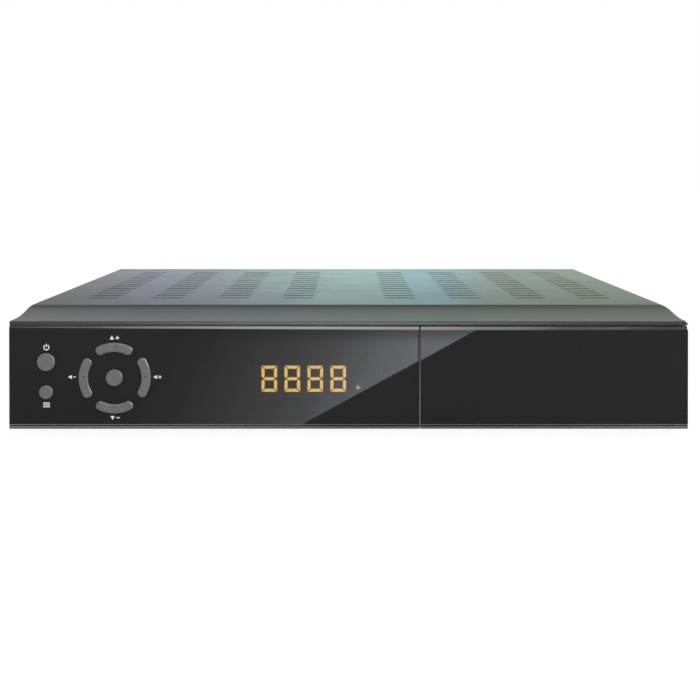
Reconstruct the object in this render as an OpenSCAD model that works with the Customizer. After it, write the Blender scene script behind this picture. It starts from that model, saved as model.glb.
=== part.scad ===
// A satellite television receiver: a low, wide steel case with a glossy black front. The left of the
// front carries the buttons and a four-digit display, and the right is a flap that folds down over a
// bay with two module slots. Every piece is drawn where it sits. X runs to the right as seen from the
// front, Y runs to the back and Z up from the surface that the feet stand on.

/* [Body] */
// Width across the front panel and the top cover
body_w = 300; // [290:1:360]
// Depth from the front face to the back edge of the top cover
body_d = 214; // [205:1:260]
// Height of the front panel, from its lower to its upper edge
fascia_h = 45.4; // [45:0.2:60]
// Height of the rubber feet
foot_h = 4; // [3.5:0.5:10]

/* [Top cover] */
// Thickness of the cover's steel sheet
cover_t = 0.8; // [0.6:0.1:1.2]
// Height of the plain band round the foot of the crown
lip_h = 2.1; // [1.8:0.1:3]
// Gap between the front panel and the band above it
lip_gap = 0.3; // [0.2:0.1:0.8]
// Rise of the crown from the band to the flat top
crown_rise = 5.9; // [5.5:0.1:9]
// Set-back of the flat top behind the front face
crown_front = 10; // [6:0.5:16]
// Set-back of the flat top from each side
crown_side = 7.2; // [5:0.1:9]
// Step from the band in to the side walls
wall_step = 0.5; // [0.3:0.1:0.7]
// Height of the side walls' lower edge above the front panel's lower edge
skirt_gap = 0.5; // [0.3:0.1:1.5]
// Gap between the front panel and the side walls behind it
wall_gap = 0.4; // [0.3:0.1:0.8]

/* [Top vents] */
// Rows of slots from front to back
vent_rows = 13; // [8:1:13]
// Slots in a row on each side of the middle
vent_columns = 4; // [2:1:4]
// Length of one slot
vent_l = 15; // [10:0.5:18]
// Width of one slot
vent_w = 2.6; // [1.5:0.1:3.5]
// Distance from one slot to the next along a row
vent_pitch_x = 31.4; // [26:0.2:32]
// Distance between rows
vent_pitch_y = 12.45; // [10:0.05:12.6]
// Distance from the front face to the first row
vent_first_y = 41; // [36:1:44]
// Distance from the middle to the nearest end of the first slot
vent_first_x = 16.9; // [10:0.1:18]

/* [Side vents] */
// Number of slots in each side wall
side_vent_count = 12; // [6:1:14]
// Width of a side slot
side_vent_w = 2.6; // [1.5:0.1:3.5]
// Height of a side slot
side_vent_h = 18; // [10:1:20]
// Distance between side slots
side_vent_pitch = 9; // [7:0.5:10]
// Distance from the front face to the first side slot
side_vent_first = 62; // [56:1:66]
// Height of the side slots' lower ends above the front panel's lower edge
side_vent_up = 18; // [16:1:20]

/* [Base] */
// Thickness of the base's steel sheet
base_t = 1; // [0.8:0.1:1.5]
// Height of the base's side flanges
base_side_h = 14; // [13:0.5:16]
// Height of the base's front flange
base_front_h = 7; // [6.5:0.1:7.5]
// Gap between the base's side flanges and the cover's walls
base_gap = 0.2; // [0.1:0.05:0.4]
// Thickness of the rear panel's steel sheet
rear_t = 1; // [0.8:0.1:1.5]
// Height of the rear panel above the cover's band
rear_rise = 3.4; // [3:0.1:3.8]
// Width of a slot in the rear panel
rear_vent_w = 3; // [2:0.5:4]
// Height of a slot in the rear panel
rear_vent_h = 8; // [6:0.5:8]
// Distance between those slots
rear_vent_pitch = 7; // [5:0.5:7]
// Number of those slots
rear_vent_count = 20; // [8:1:20]
// Distance of those slots below the cover's band
rear_vent_drop = 3; // [2:0.5:3]
// Clearance of the rear panel's cut-outs round the sockets
cutout_gap = 0.3; // [0.2:0.05:0.6]
// Gap between the rear panel's edges and the cover
rear_gap = 0.4; // [0.3:0.1:0.8]
// Width of the flange along the rear panel's foot
rear_foot_d = 9; // [6:1:12]

/* [Feet] */
// Radius of a foot
foot_r = 7; // [6:0.5:9]
// Distance from each side to a foot's centre
foot_inset_x = 25; // [16:1:40]
// Distance from the front face to the front feet's centres
foot_inset_front = 32; // [30:1:50]
// Distance from the back edge of the cover to the rear feet's centres
foot_inset_back = 24; // [16:1:40]

/* [Front panel] */
// Thickness of the glossy panel
panel_t = 3; // [2.5:0.1:4]
// Radius of the panel's and the flap's rounded upper edge
edge_round = 1.2; // [0.8:0.1:1.6]
// Height of the rail along the lower edge
rail_h = 1.6; // [1.2:0.1:2]
// Height of the groove above the rail
groove_h = 0.5; // [0.3:0.1:0.8]
// Depth of that groove
groove_depth = 0.4; // [0.2:0.1:0.6]
// Chamfer under the rail
rail_chamfer = 0.5; // [0.3:0.1:0.7]
// Distance from the right side to the gap between the panel and the flap
door_gap_in = 118.6; // [116:0.2:120]
// Width of that gap
door_gap_w = 0.6; // [0.4:0.1:1]

/* [Inner frame] */
// Thickness of the frame's front wall
frame_t = 2.4; // [2:0.1:3]
// Thickness of the frame's rim
rim_t = 2; // [1.6:0.1:2.4]
// Depth of the frame's rim behind the panel
rim_d = 13; // [12.5:0.5:16]
// Width of the clips that hold the frame to the base
clip_w = 8; // [6:1:10]
// Thickness of a clip
clip_t = 1.6; // [1.2:0.1:1.8]
// Height of a clip's barb
clip_barb = 1; // [0.6:0.1:1.2]
// Clearance round a clip in its slot
clip_gap = 0.3; // [0.2:0.05:0.4]

/* [Card bay] */
// Left end of the bay inside the flap's width, from the flap's edge
bay_inset = 10; // [9:0.5:12]
// Width of the bay
bay_w = 98; // [92:1:100]
// Height of the bay's floor above the front panel's lower edge
bay_up = 10; // [9.5:0.1:10.4]
// Height of the bay
bay_h = 25; // [24.5:0.1:25.5]
// Depth of the bay behind the panel's back
bay_d = 11; // [9:0.5:12]
// Thickness of the bay's walls
bay_wall = 1.6; // [1.2:0.1:1.8]

/* [Module cage] */
// Width of a module slot
slot_w = 54.6; // [54.4:0.1:56]
// Height of a module slot
slot_h = 5.8; // [5.6:0.1:6.4]
// Depth of a module slot
slot_d = 82; // [70:1:84]
// Distance between the two slots' centres
slot_pitch = 12; // [11:0.5:13]
// Height of the lower slot's centre above the cage's foot
slot_up = 7; // [6:0.5:8]
// Thickness of the cage's sheet round the slots
cage_wall = 1.7; // [1.2:0.1:2]
// Height of the cage
cage_h = 26; // [25.5:0.5:28]
// Distance from the bay's left wall to the cage's side
cage_inset = 4; // [2:0.5:6]
// Width of an eject key
eject_w = 5; // [4:0.5:6]
// Distance from the cage to the eject keys
eject_gap = 1.2; // [0.8:0.1:2]
// Travel of an eject key
eject_travel = 3; // [2:0.5:4]
// How far an eject key stands out of the bay's back wall
eject_out = 4.5; // [4:0.5:6]
// Length of an eject key behind the bay's back wall
eject_l = 30; // [20:1:40]
// Clearance round an eject key in its hole
eject_slack = 0.25; // [0.15:0.05:0.4]

/* [Flap] */
// Gap between the closed flap and the frame behind it
door_seat_gap = 0.3; // [0.2:0.05:0.5]
// Radius of the hinge knuckles
hub_r = 2; // [1.8:0.1:2.4]
// Width of a hinge knuckle
hub_w = 3; // [2.5:0.5:4]
// Gap between a flap's knuckle and the frame's
hub_gap = 0.3; // [0.2:0.05:0.5]
// Height of the hinge axis above the flap's lower edge
hinge_up = 3.5; // [3:0.1:3.8]
// Distance from the flap's ends to its knuckles
hinge_inset = 6; // [4:0.5:8]
// Radius of a hinge pin
pin_r = 1; // [0.8:0.05:1.2]
// Running clearance of a pin in the flap's knuckle
pin_slack = 0.05; // [0.02:0.01:0.08]
// Clearance of a pin in the frame's knuckle
pin_grip = 0.02; // [0.01:0.01:0.04]
// Clearance of the frame round the flap's swinging lower edge
relief_gap = 0.3; // [0.2:0.05:0.5]

/* [Touch latch] */
// Radius of the latch's plunger
plunger_r = 1.6; // [1.4:0.1:1.8]
// Length of the plunger
plunger_l = 9.5; // [8:0.5:11]
// Sliding clearance of the plunger in its housing
plunger_slack = 0.05; // [0.02:0.01:0.05]
// Travel of the plunger
plunger_travel = 1.5; // [1:0.1:2]
// Width of the latch housing
latch_w = 10; // [8:0.5:14]
// Length of the latch housing
latch_d = 11; // [10:0.5:14]

/* [Buttons] */
// How far the buttons stand out of the panel
button_out = 0.8; // [0.5:0.1:1.2]
// Travel of a button
button_travel = 0.6; // [0.4:0.05:0.8]
// Clearance round a button in its opening
button_gap = 0.2; // [0.1:0.05:0.3]
// Distance from the left side to the standby and menu buttons
left_keys_in = 16.2; // [16:0.1:18]
// Height of the standby button above the panel's lower edge
standby_up = 29.6; // [29.2:0.1:30]
// Radius of the standby button
standby_r = 4.1; // [3.5:0.1:4.5]
// Height of the menu button above the panel's lower edge
menu_up = 16.2; // [15.8:0.1:16.6]
// Radius of the menu button
menu_r = 3.2; // [2.8:0.1:3.6]
// Distance from the left side to the ring's centre
ring_in = 46.3; // [44:0.1:50]
// Height of the ring's centre above the panel's lower edge
ring_up = 22.6; // [22.4:0.1:24]
// Outer radius of the ring of keys
ring_outer = 15.75; // [15:0.05:16]
// Inner radius of the ring of keys
ring_inner = 11.6; // [11:0.05:12]
// Radius of the confirm button at the ring's centre
ok_r = 3.8; // [3:0.1:5]
// Half the angle that the upper and lower keys take
channel_half = 33.5; // [28:0.5:36]
// Half the angle that the left and right keys take
volume_half = 36; // [28:0.5:38]
// Width of the flange that keeps a button in the frame
flange_w = 0.9; // [0.6:0.1:1]
// Thickness of that flange
flange_t = 0.8; // [0.6:0.1:1]
// Gap between that flange and what it meets, at each end of its travel
flange_gap = 0.1; // [0.05:0.05:0.2]
// Radius of a button's stem
stem_r = 1.6; // [1.2:0.1:1.8]
// How far a stem reaches into its switch
stem_reach = 0.3; // [0.2:0.1:0.4]
// Side of a switch's square body
switch_w = 6; // [5.5:0.1:6.5]
// Height of a switch's body
switch_h = 3.4; // [3:0.1:4]
// Clearance of a stem in its switch
stem_gap = 0.3; // [0.2:0.05:0.4]

/* [Display] */
// Number of digits
digit_count = 4; // [3:1:4]
// Distance from the panel's gap to the digits' centre
digits_in = 51.6; // [50:0.1:55]
// Height of the digits' centre above the panel's lower edge
digits_up = 22.1; // [20:0.1:24]
// Height of a digit
digit_h = 11.5; // [9:0.1:13]
// Width of a digit
digit_w = 6.9; // [5.5:0.1:7.2]
// Distance from digit to digit
digit_pitch = 10.2; // [9.5:0.1:11]
// Width of a lit bar
bar_w = 1.3; // [0.9:0.1:1.6]
// Gap between lit bars
bar_gap = 0.25; // [0.15:0.05:0.4]
// Thickness of the lit bars
bar_t = 0.3; // [0.2:0.05:0.4]
// Gap between the lit bars and the panel
bar_air = 0.1; // [0.05:0.05:0.2]
// Margin of the display block round the digits
display_margin = 3; // [2:0.5:4]
// Clearance of the display block in the frame
display_gap = 0.3; // [0.2:0.05:0.5]
// Distance from the panel's gap to the status light
light_in = 27.4; // [26:0.1:28]
// Height of the status light above the panel's lower edge
light_up = 18.7; // [16:0.1:26]
// Radius of the status light
light_r = 1.5; // [1.2:0.1:2]
// Distance from the panel's gap to the remote-control eye
eye_in = 15.4; // [14:0.1:18]
// Width of the remote-control eye
eye_w = 6; // [5:0.5:7]
// Height of the remote-control eye
eye_h = 8; // [6:0.5:9]

/* [Boards] */
// Thickness of the circuit boards
board_t = 1.6; // [1:0.1:2]
// Height of the boards above the base
standoff_h = 6; // [5:0.5:6.5]
// Radius of a standoff
standoff_r = 2.75; // [2.5:0.05:3.5]
// Gap between the boards and the base's side flanges
board_side_gap = 2.5; // [2:0.5:4]
// Gap between the main board and the front flange
board_front_gap = 0.6; // [0.4:0.1:1.5]
// Gap between the boards and the rear panel
board_rear_gap = 4; // [3:0.5:6]
// Width of the power board
power_w = 70; // [66:1:72]
// Length of the power board
power_d = 160; // [140:1:164]
// Gap between the two boards
board_split = 4; // [3:0.5:6]
// Distance from a board's edges to its screws
screw_inset = 5; // [4:0.5:6]
// Gap between the front board and the panel's lower edge
front_board_up = 3; // [2.5:0.1:3.2]
// Height of the front board
front_board_h = 39; // [38:0.5:40]
// Gap between the front board and the frame's rim
front_board_gap = 1.4; // [1:0.1:2]

/* [Screws] */
// Radius of a screw's shank
shank_r = 1.4; // [1.2:0.05:1.5]
// Radius of a screw's head
head_r = 2.6; // [2.4:0.1:3]
// Height of a screw's head
head_h = 1.2; // [1:0.1:1.6]
// Clearance of a shank in its hole
shank_gap = 0.15; // [0.1:0.05:0.3]
// Depth of the cross in a screw's head
cross_depth = 0.7; // [0.4:0.1:0.8]
// Width of that cross's slots
cross_w = 0.6; // [0.5:0.1:0.8]
// Length of a cover screw's shank
cover_screw_l = 3.5; // [3:0.1:3.8]
// How far a foot's screw reaches past the base
foot_screw_past = 2; // [1.5:0.5:3]
// How far a board's screw reaches past the board
board_screw_past = 3; // [2:0.5:3.5]
// Distance from the side slots to the screws on either side of them
side_screw_out = 14; // [12:1:16]
// Height of the side screws above the front panel's lower edge
side_screw_up = 8.4; // [8:0.1:9]
// Distance from the rear screws' heads to the rear panel's upper edge
rear_screw_margin = 0.4; // [0.2:0.1:0.6]

/* [Aerial sockets] */
// Gap between the tuner's screening can and the base's right flange
tuner_side_gap = 2.5; // [2:0.1:3]
// Distance from the aerial input to the loop output
aerial_pitch = 20; // [18:0.5:20.5]
// Height of the aerial sockets above the main board
aerial_up = 13; // [10:0.5:15]
// Radius of an aerial socket's threaded barrel
aerial_r = 4.76; // [4.5:0.01:5]
// How far the barrels stand behind the cover's back edge
aerial_out = 10; // [8:0.5:12]
// Radius of the barrel's nut across its corners
nut_r = 6.4; // [6:0.1:7]
// Thickness of that nut
nut_t = 2.2; // [1.6:0.1:3]
// Radius of the socket's centre hole
aerial_hole_r = 1.2; // [0.8:0.1:1.5]
// Depth of that hole
aerial_hole_d = 8; // [6:0.5:9]
// Width of the tuner's screening can
tuner_w = 42; // [38:0.5:42]
// Length of the can
tuner_d = 62; // [50:1:70]
// Height of the can
tuner_h = 25; // [22:0.5:28]
// Depth of the dimples that stiffen the can's lid
can_dimple = 0.4; // [0.2:0.1:0.5]

/* [Scart sockets] */
// Gap between the tuner's can and the socket for the television
scart_side_gap = 0.5; // [0.3:0.1:0.6]
// Gap between that socket and the one for the recorder
scart_gap = 0.6; // [0.4:0.1:0.8]
// Width of a socket's outer frame
scart_w = 51; // [49:0.1:51.2]
// Height of a socket's outer frame
scart_h = 18; // [17:0.5:19]
// Thickness of the outer frame's wall
scart_wall = 1.6; // [1.2:0.1:2]
// Width of the gap that the plug's shell slides into
scart_groove = 1.9; // [1.6:0.1:2.2]
// Depth of that gap
scart_groove_d = 8; // [6:0.5:10]
// Length of the socket inside the case
scart_d = 24; // [18:1:30]
// How far the socket stands out of the rear panel
scart_out = 2; // [1:0.1:3]
// Width of a contact opening
contact_w = 1.1; // [0.8:0.1:1.4]
// Height of a contact opening
contact_h = 3.2; // [2.5:0.1:3.4]
// Distance between contact openings
contact_pitch = 3.81; // [3.6:0.01:4]
// Depth of a contact opening
contact_d = 6; // [4:0.5:7]

/* [Sound sockets] */
// Gap between the sound sockets' row and the scart socket beside it
phono_side_gap = 0.7; // [0.5:0.1:0.8]
// Distance between sound sockets
phono_pitch = 13; // [12:0.1:13]
// Height of the sound sockets above the main board
phono_up = 9; // [7:0.5:12]
// Outer radius of a sound socket's barrel
phono_r = 4.15; // [4:0.01:4.3]
// Thickness of that barrel
phono_wall = 0.5; // [0.4:0.1:0.8]
// Step down in the barrel's radius where it passes through the collar
phono_step = 0.2; // [0.1:0.05:0.3]
// Gap between the sound sockets' blocks
phono_gap = 0.3; // [0.2:0.1:0.5]
// How far the barrels stand behind the rear panel
phono_out = 9; // [8:0.5:10]
// Radius of a socket's centre hole
phono_hole_r = 1.65; // [1.6:0.01:1.7]
// Depth of that hole
phono_hole_d = 8.5; // [7:0.5:9]
// Radius of the coloured collar round a socket
collar_r = 5.6; // [5:0.1:6]
// Thickness of that collar
collar_t = 1.4; // [1:0.1:2]
// Height of a socket's block
phono_h = 16; // [14:0.5:20]
// Length of a block inside the case
phono_d = 12; // [10:0.5:16]

/* [Service socket] */
// Gap between the service socket's flange and the sound sockets' row
serial_side_gap = 0.2; // [0.1:0.1:0.3]
// Height of its centre above the main board
serial_up = 7; // [6.5:0.1:10]
// Width of its flange
serial_w = 30.8; // [30:0.1:31]
// Height of its flange
serial_h = 12.5; // [12:0.1:13]
// Thickness of its flange
serial_flange_t = 1; // [0.6:0.1:1.2]
// Width of its shell
shell_w = 16.9; // [16.5:0.1:17.5]
// Height of its shell
shell_h = 8.4; // [8:0.1:8.8]
// How far the shell stands out of the flange
shell_out = 5.8; // [5:0.1:7]
// Thickness of the shell
shell_t = 0.5; // [0.4:0.1:0.7]
// Distance between the socket's holes
hole_pitch = 2.76; // [2.7:0.01:2.8]
// Radius of one hole
hole_r = 0.55; // [0.4:0.05:0.7]
// Distance between the two jack nuts
jack_pitch = 25; // [24.5:0.1:25.5]
// Radius of a jack nut across its corners
jack_r = 2.7; // [2.5:0.1:3]
// How far a jack nut stands out of the flange
jack_out = 5; // [4:0.5:6]

/* [Mains side] */
// Gap between the mains inlet and the base's left flange
inlet_side_gap = 8.5; // [6.5:0.5:9]
// Height of the inlet's centre above the power board
inlet_up = 9; // [8.5:0.1:11]
// Width of the inlet's body
inlet_w = 22; // [21:0.5:23]
// Height of the inlet's body
inlet_h = 14; // [13.5:0.1:15]
// Length of the inlet's body inside the case
inlet_d = 20; // [18:0.5:24]
// How far the inlet stands out of the rear panel
inlet_out = 1.2; // [0.8:0.1:2]
// Radius of each end of the inlet's recess
recess_r = 3.9; // [3.6:0.1:4.2]
// Depth of that recess
recess_d = 12; // [11:0.5:13]
// Distance between the inlet's pins
inlet_pitch = 8.6; // [8.4:0.1:8.8]
// Radius of an inlet pin
inlet_pin_r = 1.18; // [1.1:0.01:1.25]
// Length of an inlet pin inside the recess
inlet_pin_l = 9.5; // [8:0.5:10]
// Gap between the mains inlet and the mains switch's rim
rocker_side_gap = 10.7; // [8:0.1:11]
// Least gap between that rim and the service socket's flange
mains_split = 18.9; // [16:0.1:19]
// Height of the mains switch's centre above the power board
rocker_up = 13; // [12:0.5:15]
// Width of the rocker
rocker_w = 10.6; // [9:0.2:12]
// Half the height of the rocker
rocker_half = 8.2; // [7:0.2:9]
// Clearance between the rocker's sides and its housing
rocker_gap = 0.3; // [0.2:0.05:0.5]
// Gap between the rocker's ends and its housing
rocker_end_gap = 1.1; // [0.9:0.1:1.5]
// Wall of the switch's housing
rocker_wall = 1.5; // [1.2:0.1:2]
// Width of the switch's rim outside the rear panel
bezel_w = 1.2; // [0.8:0.1:1.6]
// Thickness of that rim
bezel_t = 1.5; // [1:0.1:2]
// Length of the switch's housing inside the case
housing_d = 16; // [14:0.5:18]
// Depth of the rocker's pivot inside the rear panel
pivot_in = 4.2; // [4:0.1:5]
// Radius of the rocker's pivot
pivot_r = 1.2; // [1:0.1:1.5]
// Length of each pivot in the housing's wall
pivot_l = 1; // [0.8:0.1:1.1]
// Tilt of the rocker each way from level
rocker_tilt = 8; // [5:0.5:10]

/* [Hidden] */
$fn = 48;
eps = 0.02; // overlap that joins shapes of one piece
cut = 1; // how far a cutting shape runs past what it cuts
front_y = button_out - (button_out + body_d + aerial_out) / 2; // row position of the front face

half_w = body_w / 2;
z0 = foot_h; // front panel's lower edge
z1 = z0 + fascia_h;
lip_z0 = z1 + lip_gap;
lip_z1 = lip_z0 + lip_h;
top_z = lip_z1 + crown_rise;
wall_x = half_w - wall_step; // outer face of the cover's side wall

frame_front = panel_t;
frame_back = frame_front + frame_t;
rim_back = frame_front + rim_d;
wall_y0 = rim_back + wall_gap;
base_y0 = wall_y0;
rear_out = body_d - cover_t;
rear_in = rear_out - rear_t;
base_x = wall_x - cover_t - base_gap; // outer face of the base's side flange
base_top = z0 + base_t;

board_z = base_top + standoff_h;
board_top = board_z + board_t;
board_y1 = rear_in - board_rear_gap;

// The rear sockets stand in a row between the base's flanges. Their gaps narrow together when the
// case is too narrow for them.
inner_x = base_x - base_t;
rocker_rim_w = rocker_w + 2 * (rocker_gap + rocker_wall + bezel_w);
sockets_w = inlet_w + rocker_rim_w + serial_w + 3 * phono_pitch + 2 * scart_w + tuner_w;
gaps_w = inlet_side_gap + rocker_side_gap + mains_split + serial_side_gap + phono_side_gap + scart_gap
    + scart_side_gap + tuner_side_gap;
squeeze = min(1, (2 * inner_x - sockets_w) / gaps_w);
inlet_x = -inner_x + inlet_side_gap * squeeze + inlet_w / 2;
rocker_x = inlet_x + inlet_w / 2 + rocker_side_gap * squeeze + rocker_rim_w / 2;
tuner_x = inner_x - tuner_side_gap * squeeze - tuner_w / 2;
scart_tv_x = tuner_x - tuner_w / 2 - scart_side_gap * squeeze - scart_w / 2;
scart_recorder_x = scart_tv_x - scart_w - scart_gap * squeeze;
phono_x = scart_recorder_x - scart_w / 2 - phono_side_gap * squeeze - 1.5 * phono_pitch;
serial_x = phono_x - 1.5 * phono_pitch - serial_side_gap * squeeze - serial_w / 2;

power_x0 = -base_x + base_t + board_side_gap;
power_fit = min(1, (serial_x - serial_w / 2 - base_gap - board_split - power_x0) / power_w);
power_x1 = power_x0 + power_w * power_fit;
power_y0 = board_y1 - power_d;
main_x0 = power_x1 + board_split;
main_x1 = base_x - base_t - board_side_gap;
main_y0 = base_y0 + base_t + board_front_gap;

door_gap_x = half_w - door_gap_in;
door_x0 = door_gap_x + door_gap_w / 2;
door_x1 = half_w;
panel_x1 = door_gap_x - door_gap_w / 2;
door_t = panel_t - door_seat_gap;
hinge_y = door_t + hub_gap + hub_r;
hinge_z = z0 + hinge_up;
relief_r = norm([hinge_y, hinge_up]) + relief_gap;

bay_x0 = door_x0 + bay_inset;
bay_x1 = bay_x0 + bay_w;
bay_z0 = z0 + bay_up;
bay_z1 = bay_z0 + bay_h;
bay_back = frame_front + bay_d;
bay_rear = bay_back + bay_wall;
door_frame_z0 = bay_z0 - bay_wall; // lower edge of the frame behind the flap

cage_x0 = bay_x0 + cage_inset;
cage_x1 = cage_x0 + slot_w + 2 * cage_wall;
cage_y0 = bay_rear;
cage_y1 = cage_y0 + slot_d + cage_wall;
slot_x0 = cage_x0 + cage_wall;
slot_zs = [for (k = [0, 1]) board_top + slot_up + k * slot_pitch];
eject_x0 = cage_x1 + eject_gap;

latch_x = (door_x0 + door_x1) / 2;
latch_z0 = bay_z1 + bay_wall;
latch_z1 = z1 - rim_t;
latch_z = (latch_z0 + latch_z1) / 2;

flange_front = frame_back + flange_gap;
flange_back = flange_front + flange_t;
switch_front = flange_back + button_travel + flange_gap;
front_board_y0 = switch_front + switch_h;
front_board_y1 = front_board_y0 + board_t;
stem_end = switch_front + stem_reach;
front_board_x0 = -half_w + rim_t + front_board_gap;
front_board_x1 = panel_x1 - rim_t - front_board_gap;
front_board_z0 = z0 + front_board_up;
front_board_z1 = front_board_z0 + front_board_h;
left_keys_x = -half_w + left_keys_in;
ring_x = -half_w + ring_in;
ring_mid = (ring_outer + ring_inner) / 2;
digits_x = door_gap_x - digits_in;
light_x = door_gap_x - light_in;
eye_x = door_gap_x - eye_in;
bar_front = frame_front + bar_air;
display_front = bar_front + bar_t;

left_boss_xs = [front_board_x0 + screw_inset, front_board_x1 - screw_inset];
boss_zs = [front_board_z0 + screw_inset, front_board_z1 - screw_inset];
foot_xs = [-half_w + foot_inset_x, half_w - foot_inset_x];
foot_ys = [foot_inset_front, body_d - foot_inset_back];
side_screw_ys = [side_vent_first - side_screw_out,
    side_vent_first + side_vent_count * side_vent_pitch + side_screw_out];
side_screw_z = z0 + side_screw_up;
rear_screw_share = 0.75; // share of the half width
rear_screw_xs = [-half_w * rear_screw_share, 0, half_w * rear_screw_share];
rear_screw_z = lip_z1 + rear_rise - head_r - rear_screw_margin;
clip_shares = [-0.8, -0.3, 0.4, 0.8]; // shares of the half width
clip_xs = [for (share = clip_shares) share * half_w];
clip_z0 = base_top + clip_gap;
hinge_xs = [door_x0 + hinge_inset, door_x1 - hinge_inset - hub_w];
lug_xs = [hinge_xs[0] + hub_w + hub_gap, hinge_xs[1] - hub_gap - hub_w];

board_screws_at = concat(
    [for (x = [power_x0 + screw_inset, power_x1 - screw_inset],
          y = [power_y0 + screw_inset, board_y1 - rear_foot_d - inlet_d]) [x, y]],
    [for (x = [main_x0 + screw_inset, main_x1 - screw_inset],
          y = [main_y0 + screw_inset, board_y1 - tuner_d - screw_inset]) [x, y]],
    [[tuner_x - tuner_w / 2 - screw_inset, board_y1 - scart_d - screw_inset],
     [serial_x, board_y1 - scart_d - screw_inset]]);

rocker_z = board_top + rocker_up;
rocker_y = rear_out - pivot_in;
inlet_z = board_top + inlet_up;
phono_z = board_top + phono_up;
aerial_z = board_top + aerial_up;
scart_z = board_top + scart_h / 2;
serial_z = board_top + serial_up;
aerial_xs = [tuner_x + aerial_pitch / 2, tuner_x - aerial_pitch / 2];
scart_xs = [scart_tv_x, scart_recorder_x];
phono_xs = [for (k = [-1, 0, 1]) phono_x + k * phono_pitch];

satin_grey = [0.50, 0.54, 0.54];
gloss_black = [0.07, 0.07, 0.08];
frame_black = [0.12, 0.12, 0.13];
key_grey = [0.42, 0.41, 0.40];
zinc = [0.72, 0.74, 0.74];
nickel = [0.80, 0.80, 0.78];
socket_black = [0.10, 0.10, 0.11];
board_green = [0.10, 0.34, 0.20];
board_tan = [0.62, 0.48, 0.28];
screw_steel = [0.55, 0.56, 0.58];
rubber_black = [0.14, 0.14, 0.14];
ferrite = [0.22, 0.22, 0.24];
ivory = [0.90, 0.88, 0.80];
amber = [0.92, 0.70, 0.32];
leaf_green = [0.45, 0.85, 0.50];

// ---- shared shapes ----

// Puts shapes drawn from the front face and the floor into the row's frame.
module placed() { translate([0, front_y, 0]) children(); }

// A box given by its low and high limits along X, Y and Z.
module span(x, y, z) {
    translate([x[0], y[0], z[0]]) cube([x[1] - x[0], y[1] - y[0], z[1] - z[0]]);
}

// A flat outline drawn as seen from the front, thickened from y[0] back to y[1].
module from_front(y) {
    translate([0, y[1], 0]) rotate([90, 0, 0]) linear_extrude(y[1] - y[0]) children();
}

// A flat outline in Y and Z, thickened along X.
module from_side(x) {
    translate([x[0], 0, 0]) rotate([90, 0, 90]) linear_extrude(x[1] - x[0]) children();
}

// Round bars along each axis.
module bar_y(x, z, r, y) {
    translate([x, y[0], z]) rotate([-90, 0, 0]) cylinder(r = r, h = y[1] - y[0]);
}
module bar_x(x, y, z, r) {
    translate([x[0], y, z]) rotate([0, 90, 0]) cylinder(r = r, h = x[1] - x[0]);
}
module bar_z(x, y, r, z) {
    translate([x, y, z[0]]) cylinder(r = r, h = z[1] - z[0]);
}

cross_share = 0.6; // reach of the cross, as a share of the head's radius

// A screw with a cross in its head: the head's foot is at the origin and the shank runs down.
module screw(length, shank = shank_r) {
    difference() {
        union() {
            cylinder(r = head_r, h = head_h);
            translate([0, 0, -length]) cylinder(r = shank, h = length + eps);
        }
        for (turn = [0, 90]) rotate(turn)
            translate([-head_r * cross_share, -cross_w / 2, head_h - cross_depth])
                cube([2 * head_r * cross_share, cross_w, cross_depth + cut]);
    }
}

// ---- top cover ----

// The crown's curve from the band's edge (0) to the flat top (1): how far in, and how far up.
function bezier(t, b, c) = 3 * pow(1 - t, 2) * t * b + 3 * (1 - t) * t * t * c + t * t * t;
crown_steps = 8;
crown_in = [0.75, 0.75]; // the curve's two handles, inwards
crown_up = [0.15, 0.95]; // the same, upwards
crown_curve = [for (k = [0 : crown_steps]) let (t = k / crown_steps)
    [bezier(t, crown_in[0], crown_in[1]), bezier(t, crown_up[0], crown_up[1])]];

// A stack of rectangles: each level is [half width, front y, z], and all share the back y.
module rectangle_loft(levels, back) {
    corners = [for (level = levels) each [
        [-level[0], level[1], level[2]], [level[0], level[1], level[2]],
        [level[0], back, level[2]], [-level[0], back, level[2]]]];
    last = 4 * (len(levels) - 1);
    sides = [for (k = [0 : len(levels) - 2], c = [0 : 3]) let (a = 4 * k + c, b = 4 * k + (c + 1) % 4)
        [a, a + 4, b + 4, b]];
    polyhedron(points = corners,
        faces = concat([[0, 1, 2, 3]], sides, [[last + 3, last + 2, last + 1, last]]));
}

module crown(shrink, foot_z, back) {
    rectangle_loft(concat(
        [[half_w - shrink, shrink, foot_z]],
        [for (p = crown_curve) [half_w - shrink - p[0] * crown_side,
            shrink + p[0] * crown_front, lip_z1 - shrink + p[1] * crown_rise]]), back);
}

module top_cover() placed() color(satin_grey) difference() {
    union() {
        difference() {
            crown(0, lip_z0, body_d);
            crown(cover_t, lip_z0 - cut, body_d - cover_t);
        }
        for (side = [0, 1]) mirror([side, 0, 0])
            span([wall_x - cover_t, wall_x], [wall_y0, body_d], [z0 + skirt_gap, lip_z1 - cover_t]);
    }
    for (row = [0 : vent_rows - 1], column = [0 : vent_columns - 1], side = [0, 1])
        mirror([side, 0, 0]) translate([vent_first_x + column * vent_pitch_x,
            vent_first_y + row * vent_pitch_y - vent_w / 2, top_z - cover_t - cut])
            cube([vent_l, vent_w, cover_t + 2 * cut]);
    for (k = [0 : side_vent_count - 1]) translate([-half_w - cut,
        side_vent_first + k * side_vent_pitch - side_vent_w / 2, z0 + side_vent_up])
        cube([body_w + 2 * cut, side_vent_w, side_vent_h]);
    for (y = side_screw_ys) bar_x([-half_w - cut, half_w + cut], y, side_screw_z, shank_r + shank_gap);
    for (x = rear_screw_xs) bar_y(x, rear_screw_z, shank_r + shank_gap, [rear_out - cut, body_d + cut]);
}

// ---- base, rear panel, feet and case screws ----

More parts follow.
